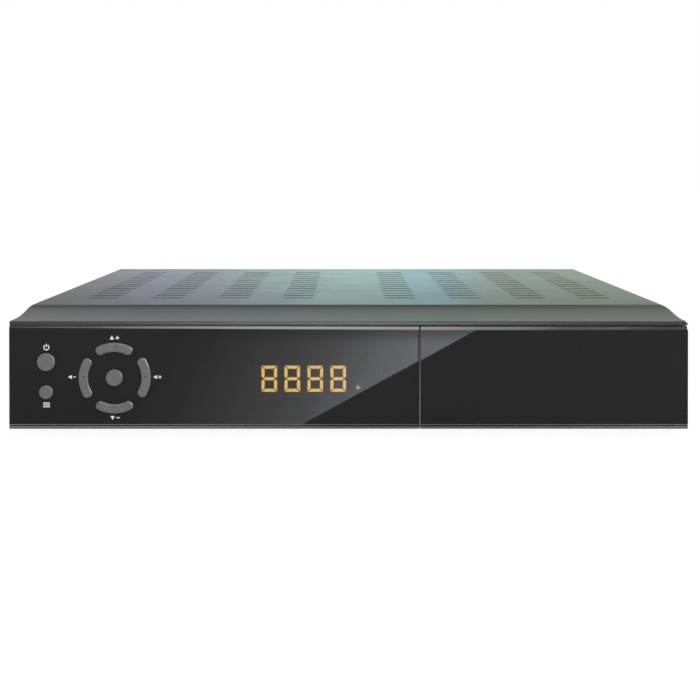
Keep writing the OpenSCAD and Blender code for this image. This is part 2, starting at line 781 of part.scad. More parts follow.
module chassis_base() placed() color(zinc) difference() {
    union() {
        span([-base_x, base_x], [base_y0, rear_out], [z0, base_top]);
        for (side = [0, 1]) mirror([side, 0, 0])
            span([base_x - base_t, base_x], [base_y0, rear_in], [z0, z0 + base_side_h]);
        span([-base_x, base_x], [base_y0, base_y0 + base_t], [z0, z0 + base_front_h]);
    }
    for (x = clip_xs) span([x - clip_w / 2 - clip_gap, x + clip_w / 2 + clip_gap],
        [base_y0 - cut, base_y0 + base_t + eps], [base_top, clip_z0 + clip_t + clip_gap]);
    for (x = foot_xs, y = foot_ys) bar_z(x, y, shank_r + shank_gap, [z0 - cut, base_top + cut]);
    for (y = side_screw_ys) bar_x([-half_w, half_w], y, side_screw_z, shank_r + shank_gap);
}

scart_slant = [0.225, 0.45]; // the cut corner's width and height, as shares of the socket's height

module scart_outline(w, h) {
    polygon([[-w / 2, -h / 2], [w / 2 - h * scart_slant[0], -h / 2], [w / 2, -h / 2 + h * scart_slant[1]],
        [w / 2, h / 2], [-w / 2, h / 2]]);
}

// The cut-outs that the rear sockets pass through, grown by a clearance.
module rear_cutouts(gap) {
    for (x = aerial_xs) translate([x, aerial_z]) circle(r = aerial_r + gap);
    for (x = scart_xs) translate([x - scart_w / 2 - gap, scart_z - scart_h / 2 - gap])
        square([scart_w + 2 * gap, scart_h + 2 * gap]);
    for (x = phono_xs) translate([x, phono_z]) circle(r = phono_r + gap);
    translate([serial_x - shell_w / 2 - gap, serial_z - shell_h / 2 - gap])
        square([shell_w + 2 * gap, shell_h + 2 * gap]);
    translate([inlet_x - inlet_w / 2 - gap, inlet_z - inlet_h / 2 - gap])
        square([inlet_w + 2 * gap, inlet_h + 2 * gap]);
    translate([rocker_x - rocker_w / 2 - rocker_gap - rocker_wall - gap,
        rocker_z - rocker_half - rocker_end_gap - rocker_wall - gap])
        square([rocker_w + 2 * (rocker_gap + rocker_wall + gap),
            2 * (rocker_half + rocker_end_gap + rocker_wall + gap)]);
}

rear_vent_x0 = power_x1 + rear_vent_pitch;
rear_vent_z = lip_z0 - rear_vent_h - rear_vent_drop;

module rear_panel() placed() color(zinc) difference() {
    union() {
        span([-base_x, base_x], [rear_in, rear_out], [base_top, lip_z0 - rear_gap]);
        span([-half_w + crown_side + 2 * cover_t, half_w - crown_side - 2 * cover_t],
            [rear_in, rear_out], [lip_z0 - rear_gap - eps, lip_z1 + rear_rise]);
        span([-base_x + base_t + rear_gap, base_x - base_t - rear_gap],
            [rear_in - rear_foot_d, rear_in + eps], [base_top, base_top + rear_t]);
    }
    from_front([rear_in - cut, rear_out + cut]) rear_cutouts(cutout_gap);
    for (k = [0 : rear_vent_count - 1])
        translate([rear_vent_x0 + k * rear_vent_pitch - rear_vent_w / 2, rear_in - cut, rear_vent_z])
            cube([rear_vent_w, rear_t + 2 * cut, rear_vent_h]);
    for (x = rear_screw_xs) bar_y(x, rear_screw_z, shank_r + shank_gap, [rear_in - cut, rear_out + cut]);
}

foot_pocket_h = 2;
foot_pocket_gap = 0.6;
foot_chamfer = 0.8;
foot_draft = 0.4;
module rubber_feet() placed() color(rubber_black)
    for (x = foot_xs, y = foot_ys) translate([x, y, 0]) difference() {
        rotate_extrude() polygon([[0, 0], [foot_r - foot_chamfer, 0], [foot_r, foot_chamfer],
            [foot_r - foot_draft, foot_h], [0, foot_h]]);
        translate([0, 0, -cut]) cylinder(r = head_r + foot_pocket_gap, h = foot_pocket_h + cut);
        translate([0, 0, -cut]) cylinder(r = shank_r + shank_gap, h = foot_h + 2 * cut);
    }

module foot_screws() placed() color(screw_steel)
    for (x = foot_xs, y = foot_ys) translate([x, y, foot_pocket_h]) rotate([180, 0, 0])
        screw(foot_h - foot_pocket_h + base_t + foot_screw_past);

module cover_side_screws() placed() color(screw_steel)
    for (side = [0, 1], y = side_screw_ys) mirror([side, 0, 0])
        translate([wall_x, y, side_screw_z]) rotate([0, 90, 0]) screw(cover_screw_l);

module cover_rear_screws() placed() color(screw_steel)
    for (x = rear_screw_xs) translate([x, body_d, rear_screw_z]) rotate([-90, 0, 0])
        screw(cover_screw_l);

// ---- front: frame, glossy panel, flap and latch ----

// Side outline of the glossy panel and the flap: rounded above, with a groove over a low rail.
module panel_outline(thick) {
    polygon(concat(
        [[thick, z0], [rail_chamfer, z0], [0, z0 + rail_chamfer], [0, z0 + rail_h],
         [groove_depth, z0 + rail_h], [groove_depth, z0 + rail_h + groove_h],
         [0, z0 + rail_h + groove_h]],
        [for (a = [0 : 15 : 90]) [edge_round * (1 - cos(a)), z1 - edge_round * (1 - sin(a))]],
        [[thick, z1]]));
}

// A sector of the ring of keys, grown by a clearance on every side.
module ring_sector(middle, half, grow) {
    reach = 2 * ring_outer;
    apex = -grow / sin(half);
    translate([ring_x, z0 + ring_up]) rotate(middle) intersection() {
        difference() {
            circle(r = ring_outer + grow);
            circle(r = ring_inner - grow);
        }
        polygon([[apex, 0], [apex + reach * cos(half), -reach * sin(half)], [reach, -reach * sin(half)],
            [reach, reach * sin(half)], [apex + reach * cos(half), reach * sin(half)]]);
    }
}

// The openings that the seven buttons pass through, grown by a clearance.
module button_openings(grow) {
    translate([left_keys_x, z0 + standby_up]) circle(r = standby_r + grow);
    translate([left_keys_x, z0 + menu_up]) circle(r = menu_r + grow);
    translate([ring_x, z0 + ring_up]) circle(r = ok_r + grow);
    for (middle = [90, -90]) ring_sector(middle, channel_half, grow);
    for (middle = [0, 180]) ring_sector(middle, volume_half, grow);
}

module display_panel() placed() color(gloss_black) difference() {
    from_side([-half_w, panel_x1]) panel_outline(panel_t);
    from_front([-cut, panel_t + cut]) button_openings(button_gap);
}

module display_window(grow) {
    w = (digit_count - 1) * digit_pitch + digit_w + 2 * (display_margin + grow);
    h = digit_h + 2 * (display_margin + grow);
    translate([digits_x - w / 2, z0 + digits_up - h / 2]) square([w, h]);
}

// The frame's wall, rim and bay, before the knuckles, the clips and the bosses are added.
module frame_shell() difference() {
    union() {
        span([-half_w, panel_x1], [frame_front, frame_back], [z0, z1]);
        span([panel_x1 - eps, half_w], [frame_front, frame_back], [door_frame_z0, z1]);
        span([-half_w, half_w], [frame_front, rim_back], [z1 - rim_t, z1]);
        span([-half_w, -half_w + rim_t], [frame_front, rim_back], [z0, z1]);
        span([half_w - rim_t, half_w], [frame_front, rim_back], [z0, z1]);
        span([-half_w, panel_x1], [frame_front, rim_back], [z0, z0 + rim_t]);
        span([panel_x1 - rim_t, panel_x1], [frame_front, rim_back], [z0, door_frame_z0 + eps]);
        span([panel_x1 - eps, half_w], [hinge_y + relief_r + relief_gap, rim_back], [z0, z0 + rim_t]);
        span([bay_x0 - bay_wall, bay_x1 + bay_wall], [frame_front, bay_rear],
            [door_frame_z0, bay_z1 + bay_wall]);
    }
    span([bay_x0, bay_x1], [frame_front - cut, bay_back], [bay_z0, bay_z1]);
    intersection() {
        bar_x([door_x0 - eps, half_w + cut], hinge_y, hinge_z, relief_r);
        span([door_x0 - eps, half_w + cut], [-cut, hinge_y + relief_r], [0, hinge_z]);
    }
    for (z = slot_zs) span([slot_x0, slot_x0 + slot_w], [bay_back - cut, bay_rear + cut],
        [z - slot_h / 2, z + slot_h / 2]);
    for (z = slot_zs) span([eject_x0 - eject_slack, eject_x0 + eject_w + eject_slack],
        [bay_back - cut, bay_rear + cut],
        [z - eject_w / 2 - eject_slack, z + eject_w / 2 + eject_slack]);
    bar_y(latch_x, latch_z, plunger_r + plunger_slack, [frame_front - cut, frame_back + cut]);
    from_front([frame_front - cut, frame_back + cut]) {
        button_openings(button_gap);
        display_window(display_gap);
        translate([light_x, z0 + light_up]) circle(r = light_r + button_gap);
        translate([eye_x - eye_w / 2 - display_gap, z0 + digits_up - eye_h / 2 - display_gap])
            square([eye_w + 2 * display_gap, eye_h + 2 * display_gap]);
    }
}

module frame_lug(x) difference() {
    from_side([x, x + hub_w]) {
        translate([hinge_y, hinge_z]) circle(r = hub_r);
        translate([hinge_y - hub_r, hinge_z])
            square([2 * hub_r, door_frame_z0 - hinge_z + eps]);
    }
    bar_x([x - cut, x + hub_w + cut], hinge_y, hinge_z, pin_r + pin_grip);
}

module fascia_frame() placed() color(frame_black) {
    frame_shell();
    for (x = lug_xs) frame_lug(x);
    for (x = left_boss_xs, z = boss_zs) difference() {
        bar_y(x, z, standoff_r, [frame_back - eps, front_board_y0]);
        bar_y(x, z, shank_r + shank_gap, [frame_back, front_board_y0 + cut]);
    }
    for (x = clip_xs) {
        span([x - clip_w / 2, x + clip_w / 2], [rim_back - rim_t, base_y0 + base_t + wall_gap + rim_t],
            [clip_z0, clip_z0 + clip_t]);
        span([x - clip_w / 2, x + clip_w / 2],
            [base_y0 + base_t + clip_gap, base_y0 + base_t + wall_gap + rim_t],
            [clip_z0, clip_z0 + clip_t + clip_barb]);
    }
}

module card_door() placed() color(gloss_black) difference() {
    union() {
        from_side([door_x0, door_x1]) panel_outline(door_t);
        for (x = hinge_xs) from_side([x, x + hub_w]) {
            translate([hinge_y, hinge_z]) circle(r = hub_r);
            translate([door_t - eps, hinge_z - hub_r]) square([hinge_y - door_t + eps, 2 * hub_r]);
        }
    }
    for (x = hinge_xs) bar_x([x - cut, x + hub_w + cut], hinge_y, hinge_z, pin_r + pin_slack);
}

module door_hinge_pins() placed() color(screw_steel)
    for (k = [0, 1]) bar_x([min(hinge_xs[k], lug_xs[k]), max(hinge_xs[k], lug_xs[k]) + hub_w],
        hinge_y, hinge_z, pin_r);

module latch_housing() placed() color(ivory) difference() {
    span([latch_x - latch_w / 2, latch_x + latch_w / 2], [frame_back, frame_back + latch_d],
        [latch_z0, latch_z1]);
    bar_y(latch_x, latch_z, plunger_r + plunger_slack,
        [frame_back - cut, frame_front + plunger_l + plunger_travel + flange_gap]);
}

plunger_nose = 0.5;
module latch_plunger() placed() color(frame_black) {
    bar_y(latch_x, latch_z, plunger_r, [door_t + door_seat_gap + plunger_nose, frame_front + plunger_l]);
    translate([latch_x, door_t + door_seat_gap, latch_z]) rotate([-90, 0, 0])
        cylinder(r1 = plunger_r - plunger_nose, r2 = plunger_r, h = plunger_nose + eps);
}

// ---- buttons ----

key_bevel = 0.3;

// A round button: a bevelled cap, the flange behind the frame and the stem into its switch.
module round_button(x, up, r) placed() color(key_grey) {
    translate([x, -button_out, z0 + up]) rotate([-90, 0, 0])
        cylinder(r1 = r - key_bevel, r2 = r, h = key_bevel + eps);
    bar_y(x, z0 + up, r, [key_bevel - button_out, flange_front]);
    bar_y(x, z0 + up, r + flange_w, [flange_front - eps, flange_back]);
    bar_y(x, z0 + up, stem_r, [flange_back - eps, stem_end]);
}

// A button that is one sector of the ring.
module sector_button(middle, half) placed() color(key_grey) {
    from_front([-button_out, flange_front]) ring_sector(middle, half, 0);
    from_front([flange_front - eps, flange_back]) ring_sector(middle, half, flange_w);
    bar_y(ring_x + ring_mid * cos(middle), z0 + ring_up + ring_mid * sin(middle), stem_r,
        [flange_back - eps, stem_end]);
}

module standby_button() round_button(left_keys_x, standby_up, standby_r);
module menu_button() round_button(left_keys_x, menu_up, menu_r);
module ok_button() round_button(ring_x, ring_up, ok_r);
module channel_up_button() sector_button(90, channel_half);
module channel_down_button() sector_button(-90, channel_half);
module volume_down_button() sector_button(180, volume_half);
module volume_up_button() sector_button(0, volume_half);

// ---- behind the glossy panel ----

switch_spots = concat(
    [[left_keys_x, z0 + standby_up], [left_keys_x, z0 + menu_up], [ring_x, z0 + ring_up]],
    [for (a = [0 : 90 : 270]) [ring_x + ring_mid * cos(a), z0 + ring_up + ring_mid * sin(a)]]);

module front_board() placed() color(board_tan) difference() {
    span([front_board_x0, front_board_x1], [front_board_y0, front_board_y1],
        [front_board_z0, front_board_z1]);
    for (x = left_boss_xs, z = boss_zs)
        bar_y(x, z, shank_r + shank_gap, [front_board_y0 - cut, front_board_y1 + cut]);
}

module front_board_screws() placed() color(screw_steel)
    for (x = left_boss_xs, z = boss_zs) translate([x, front_board_y1, z]) rotate([-90, 0, 0])
        screw(board_t + board_screw_past);

module tact_switches() placed() color(socket_black)
    for (spot = switch_spots) difference() {
        span([spot[0] - switch_w / 2, spot[0] + switch_w / 2], [switch_front, front_board_y0],
            [spot[1] - switch_w / 2, spot[1] + switch_w / 2]);
        bar_y(spot[0], spot[1], stem_r + stem_gap,
            [switch_front - cut, stem_end + button_travel + stem_gap]);
    }

module display_block() placed() color(ivory)
    from_front([display_front, front_board_y0]) display_window(0);

// One bar of a digit, lying along X, with pointed ends.
module lit_bar(length) {
    tip = bar_w / 2;
    polygon([[-length / 2, 0], [-length / 2 + tip, tip], [length / 2 - tip, tip], [length / 2, 0],
        [length / 2 - tip, -tip], [-length / 2 + tip, -tip]]);
}

module digit() {
    across = digit_w - bar_w - bar_gap;
    tall = (digit_h - bar_w) / 2;
    for (level = [-1, 0, 1]) translate([0, level * tall]) lit_bar(across);
    for (side = [-1, 1], level = [-1, 1])
        translate([side * (digit_w - bar_w) / 2, level * tall / 2]) rotate(90)
            lit_bar(tall - bar_gap);
}

module digit_bars() placed() color(amber) from_front([bar_front, display_front])
    for (k = [0 : digit_count - 1])
        translate([digits_x + (k - (digit_count - 1) / 2) * digit_pitch, z0 + digits_up]) digit();

module status_light() placed() color(leaf_green)
    bar_y(light_x, z0 + light_up, light_r, [bar_front, front_board_y0]);

module remote_eye() placed() color(socket_black)
    span([eye_x - eye_w / 2, eye_x + eye_w / 2], [bar_front, front_board_y0],
        [z0 + digits_up - eye_h / 2, z0 + digits_up + eye_h / 2]);

// ---- module cage ----

module module_cage() placed() color(nickel) difference() {
    span([cage_x0, cage_x1], [cage_y0, cage_y1], [board_top, board_top + cage_h]);
    for (z = slot_zs) span([slot_x0, slot_x0 + slot_w], [cage_y0 - cut, cage_y0 + slot_d],
        [z - slot_h / 2, z + slot_h / 2]);
}

module eject_key(z) placed() color(socket_black)
    span([eject_x0, eject_x0 + eject_w], [bay_back - eject_out, bay_rear + eject_l],
        [z - eject_w / 2, z + eject_w / 2]);
module upper_eject_key() eject_key(slot_zs[1]);
module lower_eject_key() eject_key(slot_zs[0]);

// ---- boards and what stands on them ----

module main_board() placed() color(board_green) difference() {
    span([main_x0, main_x1], [main_y0, board_y1], [board_z, board_top]);
    for (p = board_screws_at) bar_z(p[0], p[1], shank_r + shank_gap, [board_z - cut, board_top + cut]);
}

module power_board() placed() color(board_tan) difference() {
    span([power_x0, power_x1], [power_y0, board_y1], [board_z, board_top]);
    for (p = board_screws_at) bar_z(p[0], p[1], shank_r + shank_gap, [board_z - cut, board_top + cut]);
}

module board_standoffs() placed() color(nickel) for (p = board_screws_at) difference() {
    bar_z(p[0], p[1], standoff_r, [base_top, board_z]);
    bar_z(p[0], p[1], shank_r + shank_gap, [base_top + cut, board_z + cut]);
}

module board_screws() placed() color(screw_steel)
    for (p = board_screws_at) translate([p[0], p[1], board_top]) screw(board_t + board_screw_past);

chip_w = 27;
chip_h = 2.4;
chip_in = 81; // distance of its centre from the main board's left edge
chip_at = [main_x0 + chip_in, body_d / 2];
sink_w = 34;
sink_base = 2;
sink_h = 10;
fin_count = 8;
fin_t = 1.2;

module chip(at, w, l, h) {
    span([at[0] - w / 2, at[0] + w / 2], [at[1] - l / 2, at[1] + l / 2], [board_top, board_top + h]);
}

module decoder_chip() placed() color(socket_black) chip(chip_at, chip_w, chip_w, chip_h);

memory_w = 11;
memory_l = 20;
module memory_chips() placed() color(socket_black) for (k = [-1, 1])
    chip([chip_at[0] + k * memory_w, chip_at[1] + chip_w / 2 + memory_l], memory_w, memory_l, chip_h / 2);

module chip_heat_sink() placed() color(nickel) {
    foot = board_top + chip_h;
    span([chip_at[0] - sink_w / 2, chip_at[0] + sink_w / 2],
        [chip_at[1] - sink_w / 2, chip_at[1] + sink_w / 2], [foot, foot + sink_base]);
    for (k = [0 : fin_count - 1]) let (x = chip_at[0] - sink_w / 2 + k * (sink_w - fin_t) / (fin_count - 1))
        span([x, x + fin_t], [chip_at[1] - sink_w / 2, chip_at[1] + sink_w / 2],
            [foot + sink_base - eps, foot + sink_h]);
}

ribbon_t = 1;
ribbon_w = 16;
header_h = 6;
header_gap = 1;
ribbon_in = 27.7; // distance of its left edge from the front board's right edge
ribbon_rise = 8;
ribbon_run = 12;
ribbon_slope = 8;
power_ribbon_front = 20; // distance of its front edge from the chip's middle

// A flat cable from the front board's back to a header on the main board, with both headers.
module front_ribbon() placed() color(ivory) {
    x = [front_board_x1 - ribbon_in, front_board_x1 - ribbon_in + ribbon_w];
    top = board_top + header_h + ribbon_t;
    rise = top + ribbon_rise;
    bend = main_y0 + ribbon_run;
    foot = bend + ribbon_slope;
    span(x, [front_board_y1, front_board_y1 + header_h], [rise - header_h, rise]);
    from_side(x) polygon([[front_board_y1 + header_h - eps, rise - ribbon_t],
        [front_board_y1 + header_h - eps, rise], [bend, rise], [foot, top],
        [foot + header_h, top], [foot + header_h, top - ribbon_t],
        [foot - ribbon_t / 2, top - ribbon_t], [bend - ribbon_t / 2, rise - ribbon_t]]);
    span(x, [foot, foot + header_h], [board_top, top - ribbon_t + eps]);
}

// A flat cable that arches from the power board to the main board, with both headers.
module power_ribbon() placed() color(ivory) {
    y = [chip_at[1] - power_ribbon_front, chip_at[1] - power_ribbon_front + ribbon_w];
    top = board_top + header_h;
    left = [power_x1 - power_fit * (header_gap + header_h), power_x1 - power_fit * header_gap];
    right = [main_x0 + header_gap, main_x0 + header_gap + header_h];
    for (x = [left, right]) span(x, y, [board_top, top]);
    span([left[0], right[1]], y, [top - eps, top + ribbon_t]);
}

// ---- rear sockets ----

module tuner_can() placed() color(nickel) difference() {
    top = board_top + tuner_h;
    span([tuner_x - tuner_w / 2, tuner_x + tuner_w / 2], [rear_in - tuner_d, rear_in], [board_top, top]);
    for (k = [-1, 1]) bar_z(tuner_x + k * tuner_w / 4, rear_in - tuner_d / 2, tuner_w / 8,
        [top - can_dimple, top + cut]);
}

module aerial_socket(x) placed() color(nickel) difference() {
    union() {
        bar_y(x, aerial_z, aerial_r, [rear_in, body_d + aerial_out]);
        translate([x, rear_out, aerial_z]) rotate([-90, 0, 0]) cylinder(r = nut_r, h = nut_t, $fn = 6);
    }
    bar_y(x, aerial_z, aerial_hole_r, [body_d + aerial_out - aerial_hole_d, body_d + aerial_out + cut]);
}
module aerial_input() aerial_socket(aerial_xs[0]);
module aerial_loop_output() aerial_socket(aerial_xs[1]);

contact_count = 10; // in each of the two rows
contact_shift = 1; // of both rows, away from the cut corner
contact_stagger = 0.25; // of each row, as a share of the contacts' pitch

module scart_socket(x) placed() color(socket_black) {
    face = rear_out + scart_out;
    core_w = scart_w - 2 * (scart_wall + scart_groove);
    core_h = scart_h - 2 * (scart_wall + scart_groove);
    difference() {
        span([x - scart_w / 2, x + scart_w / 2], [rear_in - scart_d, face], [board_top, board_top + scart_h]);
        difference() {
            translate([x, 0, scart_z]) from_front([face - scart_groove_d, face + cut])
                scart_outline(scart_w - 2 * scart_wall, scart_h - 2 * scart_wall);
            translate([x, 0, scart_z]) from_front([face - scart_groove_d - cut, face])
                scart_outline(core_w, core_h);
        }
        for (row = [-1, 1], k = [0 : contact_count - 1]) translate([
            x + (k - (contact_count - 1) / 2 + row * contact_stagger) * contact_pitch
                - contact_w / 2 - contact_shift,
            face - contact_d, scart_z + row * core_h / 4 - contact_h / 2])
            cube([contact_w, contact_d + cut, contact_h]);
    }
}
module scart_socket_tv() scart_socket(scart_xs[0]);
module scart_socket_recorder() scart_socket(scart_xs[1]);

phono_tip = rear_out + phono_out;
phono_core_gap = 0.3;
phono_core_r = phono_r - phono_wall - phono_core_gap;
module phono_blocks() placed() color(socket_black) for (x = phono_xs) difference() {
    union() {
        span([x - (phono_pitch - phono_gap) / 2, x + (phono_pitch - phono_gap) / 2],
            [rear_in - phono_d, rear_in], [board_top, board_top + phono_h]);
        bar_y(x, phono_z, phono_core_r, [rear_in - eps, phono_tip - phono_wall]);
    }
    bar_y(x, phono_z, phono_hole_r, [phono_tip - phono_hole_d, phono_tip + cut]);
}

module phono_barrels() placed() color(nickel) for (x = phono_xs) difference() {
    union() {
        bar_y(x, phono_z, phono_r - phono_step, [rear_in, rear_out + collar_t + eps]);
        bar_y(x, phono_z, phono_r, [rear_out + collar_t, phono_tip]);
    }
    bar_y(x, phono_z, phono_r - phono_wall, [rear_in - cut, phono_tip + cut]);
}

collar_gap = 0.1;
module phono_collars() placed() color("white") for (x = phono_xs) difference() {
    bar_y(x, phono_z, collar_r, [rear_out, rear_out + collar_t]);
    bar_y(x, phono_z, phono_r + collar_gap, [rear_out - cut, rear_out + collar_t + cut]);
}

d_slant = 0.18; // of the shell's sides, as a share of its height

module d_outline(w, h) {
    polygon([[-w / 2, h / 2], [w / 2, h / 2], [w / 2 - h * d_slant, -h / 2],
        [-w / 2 + h * d_slant, -h / 2]]);
}

serial_face = rear_out + serial_flange_t;
hole_count = 5; // in the upper row, with one less in the lower
module serial_shell() placed() color(nickel) translate([serial_x, 0, serial_z]) difference() {
    union() {
        from_front([rear_out, serial_face])
            translate([-serial_w / 2, -serial_h / 2]) square([serial_w, serial_h]);
        from_front([rear_in, serial_face + shell_out]) d_outline(shell_w, shell_h);
    }
    from_front([rear_in - cut, serial_face + shell_out + cut])
        d_outline(shell_w - 2 * shell_t, shell_h - 2 * shell_t);
    for (k = [-1, 1]) bar_y(k * jack_pitch / 2, 0, shank_r + shank_gap, [rear_out - cut, serial_face + cut]);
}

module serial_insert() placed() color(socket_black) translate([serial_x, 0, serial_z]) difference() {
    union() {
        from_front([rear_in - phono_d, rear_in])
            translate([-serial_w / 2, board_top - serial_z]) square([serial_w, serial_h]);
        from_front([rear_in - eps, serial_face + shell_out - shell_t])
            d_outline(shell_w - 2 * shell_t - 2 * collar_gap, shell_h - 2 * shell_t - 2 * collar_gap);
    }
    for (row = [0, 1], k = [0 : hole_count - 1 - row])
        bar_y((k - (hole_count - 1 - row) / 2) * hole_pitch, (0.5 - row) * hole_pitch, hole_r,
            [serial_face, serial_face + shell_out + cut]);
}

module jack_nuts() placed() color(nickel) for (k = [-1, 1])
    translate([serial_x + k * jack_pitch / 2, serial_face, serial_z]) rotate([-90, 0, 0]) difference() {
        union() {
            cylinder(r = jack_r, h = jack_out, $fn = 6);
            translate([0, 0, -serial_flange_t]) cylinder(r = shank_r, h = serial_flange_t + eps);
        }
        translate([0, 0, cut]) cylinder(r = shank_r, h = jack_out);
    }

// ---- mains side ----

module mains_inlet() placed() color(socket_black) difference() {
    span([inlet_x - inlet_w / 2, inlet_x + inlet_w / 2], [rear_in - inlet_d, rear_out + inlet_out],
        [inlet_z - inlet_h / 2, inlet_z + inlet_h / 2]);
    from_front([rear_out + inlet_out - recess_d, rear_out + inlet_out + cut]) {
        translate([inlet_x - inlet_pitch / 2, inlet_z - recess_r]) square([inlet_pitch, 2 * recess_r]);
        for (k = [-1, 1]) translate([inlet_x + k * inlet_pitch / 2, inlet_z]) circle(r = recess_r);
    }
    for (k = [-1, 1]) bar_y(inlet_x + k * inlet_pitch / 2, inlet_z, inlet_pin_r,
        [rear_in - inlet_d + cut, rear_out]);
}

module inlet_pins() placed() color(nickel) for (k = [-1, 1])
    bar_y(inlet_x + k * inlet_pitch / 2, inlet_z, inlet_pin_r,
        [rear_in - inlet_d + cut, rear_out + inlet_out - recess_d + inlet_pin_l]);

rocker_face = 5.2; // from the pivot to the ends of the rocker's face
rocker_crest = 6.4; // from the pivot to the middle of its face
rocker_foot = 1;
rocker_belly = 2.5;
rocker_taper = 0.2;

// Side outline of the rocker about its pivot, level.
module rocker_outline() {
    polygon([[rocker_face, -rocker_half], [rocker_crest, 0], [rocker_face, rocker_half],
        [-rocker_foot, rocker_half - rocker_taper], [-rocker_belly, 0],
        [-rocker_foot, rocker_taper - rocker_half]]);
}

module mains_rocker() placed() color(socket_black)
    translate([0, rocker_y, rocker_z]) rotate([-rocker_tilt, 0, 0]) {
        from_side([rocker_x - rocker_w / 2, rocker_x + rocker_w / 2]) rocker_outline();
        pivot_x = rocker_w / 2 + rocker_gap + pivot_l;
        bar_x([rocker_x - pivot_x, rocker_x + pivot_x], 0, 0, pivot_r);
    }

blade_w = 4.8;
blade_t = 0.8;
blade_l = 7;
housing_floor = 0.6; // depth of the housing's well behind the pivot, as a share of rocker_half
module rocker_housing() placed() color(socket_black) {
    w = rocker_w / 2 + rocker_gap;
    h = rocker_half + rocker_end_gap;
    difference() {
        union() {
            span([rocker_x - w - rocker_wall, rocker_x + w + rocker_wall],
                [rear_in - housing_d, rear_out + eps],
                [rocker_z - h - rocker_wall, rocker_z + h + rocker_wall]);
            span([rocker_x - w - rocker_wall - bezel_w, rocker_x + w + rocker_wall + bezel_w],
                [rear_out, rear_out + bezel_t],
                [rocker_z - h - rocker_wall - bezel_w, rocker_z + h + rocker_wall + bezel_w]);
        }
        span([rocker_x - w, rocker_x + w], [rocker_y - rocker_half * housing_floor, rear_out + bezel_t + cut],
            [rocker_z - h, rocker_z + h]);
        bar_x([rocker_x - w - pivot_l - flange_gap, rocker_x + w + pivot_l + flange_gap],
            rocker_y, rocker_z, pivot_r + pin_slack);
    }
    for (k = [-1, 1]) span([rocker_x - blade_t / 2, rocker_x + blade_t / 2],
        [rear_in - housing_d - blade_l, rear_in - housing_d + eps],
        [rocker_z + k * rocker_half / 2 - blade_w / 2, rocker_z + k * rocker_half / 2 + blade_w / 2]);
}

wire_r = 1.1;
wire_stagger = 1.65;
module mains_wires() placed() color("saddlebrown") for (k = [-1, 1]) {
    x = rocker_x + k * (blade_t / 2 + wire_r);
    y = rear_in - housing_d - blade_l / 2 + k * wire_stagger;
    z = rocker_z + k * rocker_half / 2;
    bar_z(x, y, wire_r, [board_top, z]);
}

core_full_w = 28;
core_w = core_full_w * power_fit;
core_d = 24;
core_h = 20;
coil_full_w = 20;
coil_w = coil_full_w * power_fit;
core_in = 27; // distance of the core's middle from the power board's left edge
core_front = 58.8; // and from the board's front edge
coil_out = 4;
coil_drop = 5;
core_at = [power_x0 + core_in * power_fit, power_y0 + core_front];
module transformer() placed() color(ferrite) {
    chip(core_at, core_w, core_d, core_h);
    chip(core_at, coil_w, core_d + 2 * coil_out, core_h - coil_drop);
}

can_r = 11;
can_h = 25;
module mains_capacitor() placed() color(socket_black)
    bar_z(core_at[0], core_at[1] + core_d + can_r, can_r, [board_top, board_top + can_h]);

small_can_full_r = 5;
small_can_r = small_can_full_r * power_fit;
small_can_h = 16;
small_can_in = 3; // distance of their centres from the power board's edge, in radii
small_can_front = 40; // distance of the first from the transformer's middle
small_can_gap = 2;
small_can_count = 4;
module output_capacitors() placed() color(socket_black) for (k = [0 : small_can_count - 1])
    bar_z(power_x1 - small_can_in * small_can_r,
        core_at[1] - small_can_front + k * (2 * small_can_r + small_can_gap), small_can_r,
        [board_top, board_top + small_can_h]);

plate_full_t = 2.5;
plate_t = plate_full_t * power_fit;
plate_full_l = 44;
plate_l = plate_full_l * power_fit;
plate_h = 26;
plate_gap = 8;
plate_fin_l = 10;
plate_fin_count = 5;
module power_heat_sink() placed() color(nickel) {
    y = core_at[1] - core_d - plate_gap;
    span([core_at[0] - plate_l / 2, core_at[0] + plate_l / 2], [y, y + plate_t],
        [board_top, board_top + plate_h]);
    for (k = [0 : plate_fin_count - 1])
        let (x = core_at[0] - plate_l / 2 + k * (plate_l - plate_t) / (plate_fin_count - 1))
            span([x, x + plate_t], [y - plate_fin_l, y + eps], [board_top, board_top + plate_h]);
}

fuse_r = 2.6;
fuse_l = 20;
fuse_lift = 1;
fuse_clip_in = 0.35; // from the fuse's middle, as a share of its length
fuse_clip_half = 2;
module mains_fuse() placed() color(nickel) {
    y = board_y1 - inlet_d - fuse_l;
    x = power_x0 + 2 * screw_inset;
    bar_y(x, board_top + fuse_r + fuse_lift, fuse_r, [y - fuse_l / 2, y + fuse_l / 2]);
    for (k = [-1, 1]) let (middle = y + k * fuse_l * fuse_clip_in)
        span([x - fuse_r, x + fuse_r], [middle - fuse_clip_half, middle + fuse_clip_half],
            [board_top, board_top + fuse_r + fuse_lift]);
}

top_cover();
chassis_base();
rear_panel();
rubber_feet();
foot_screws();
cover_side_screws();
cover_rear_screws();
fascia_frame();
display_panel();
card_door();
door_hinge_pins();
latch_housing();
latch_plunger();
standby_button();
menu_button();
ok_button();
channel_up_button();
channel_down_button();
volume_down_button();
volume_up_button();
front_board();
front_board_screws();
tact_switches();
display_block();
digit_bars();
status_light();
remote_eye();
module_cage();
upper_eject_key();
lower_eject_key();
main_board();
power_board();
board_standoffs();
board_screws();
decoder_chip();
memory_chips();
chip_heat_sink();
front_ribbon();
power_ribbon();
tuner_can();
aerial_input();
aerial_loop_output();
scart_socket_tv();
scart_socket_recorder();
phono_blocks();
phono_barrels();
phono_collars();
serial_shell();
serial_insert();
jack_nuts();
mains_inlet();
inlet_pins();
mains_rocker();
rocker_housing();
mains_wires();
transformer();
mains_capacitor();
output_capacitors();
power_heat_sink();
mains_fuse();
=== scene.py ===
import math

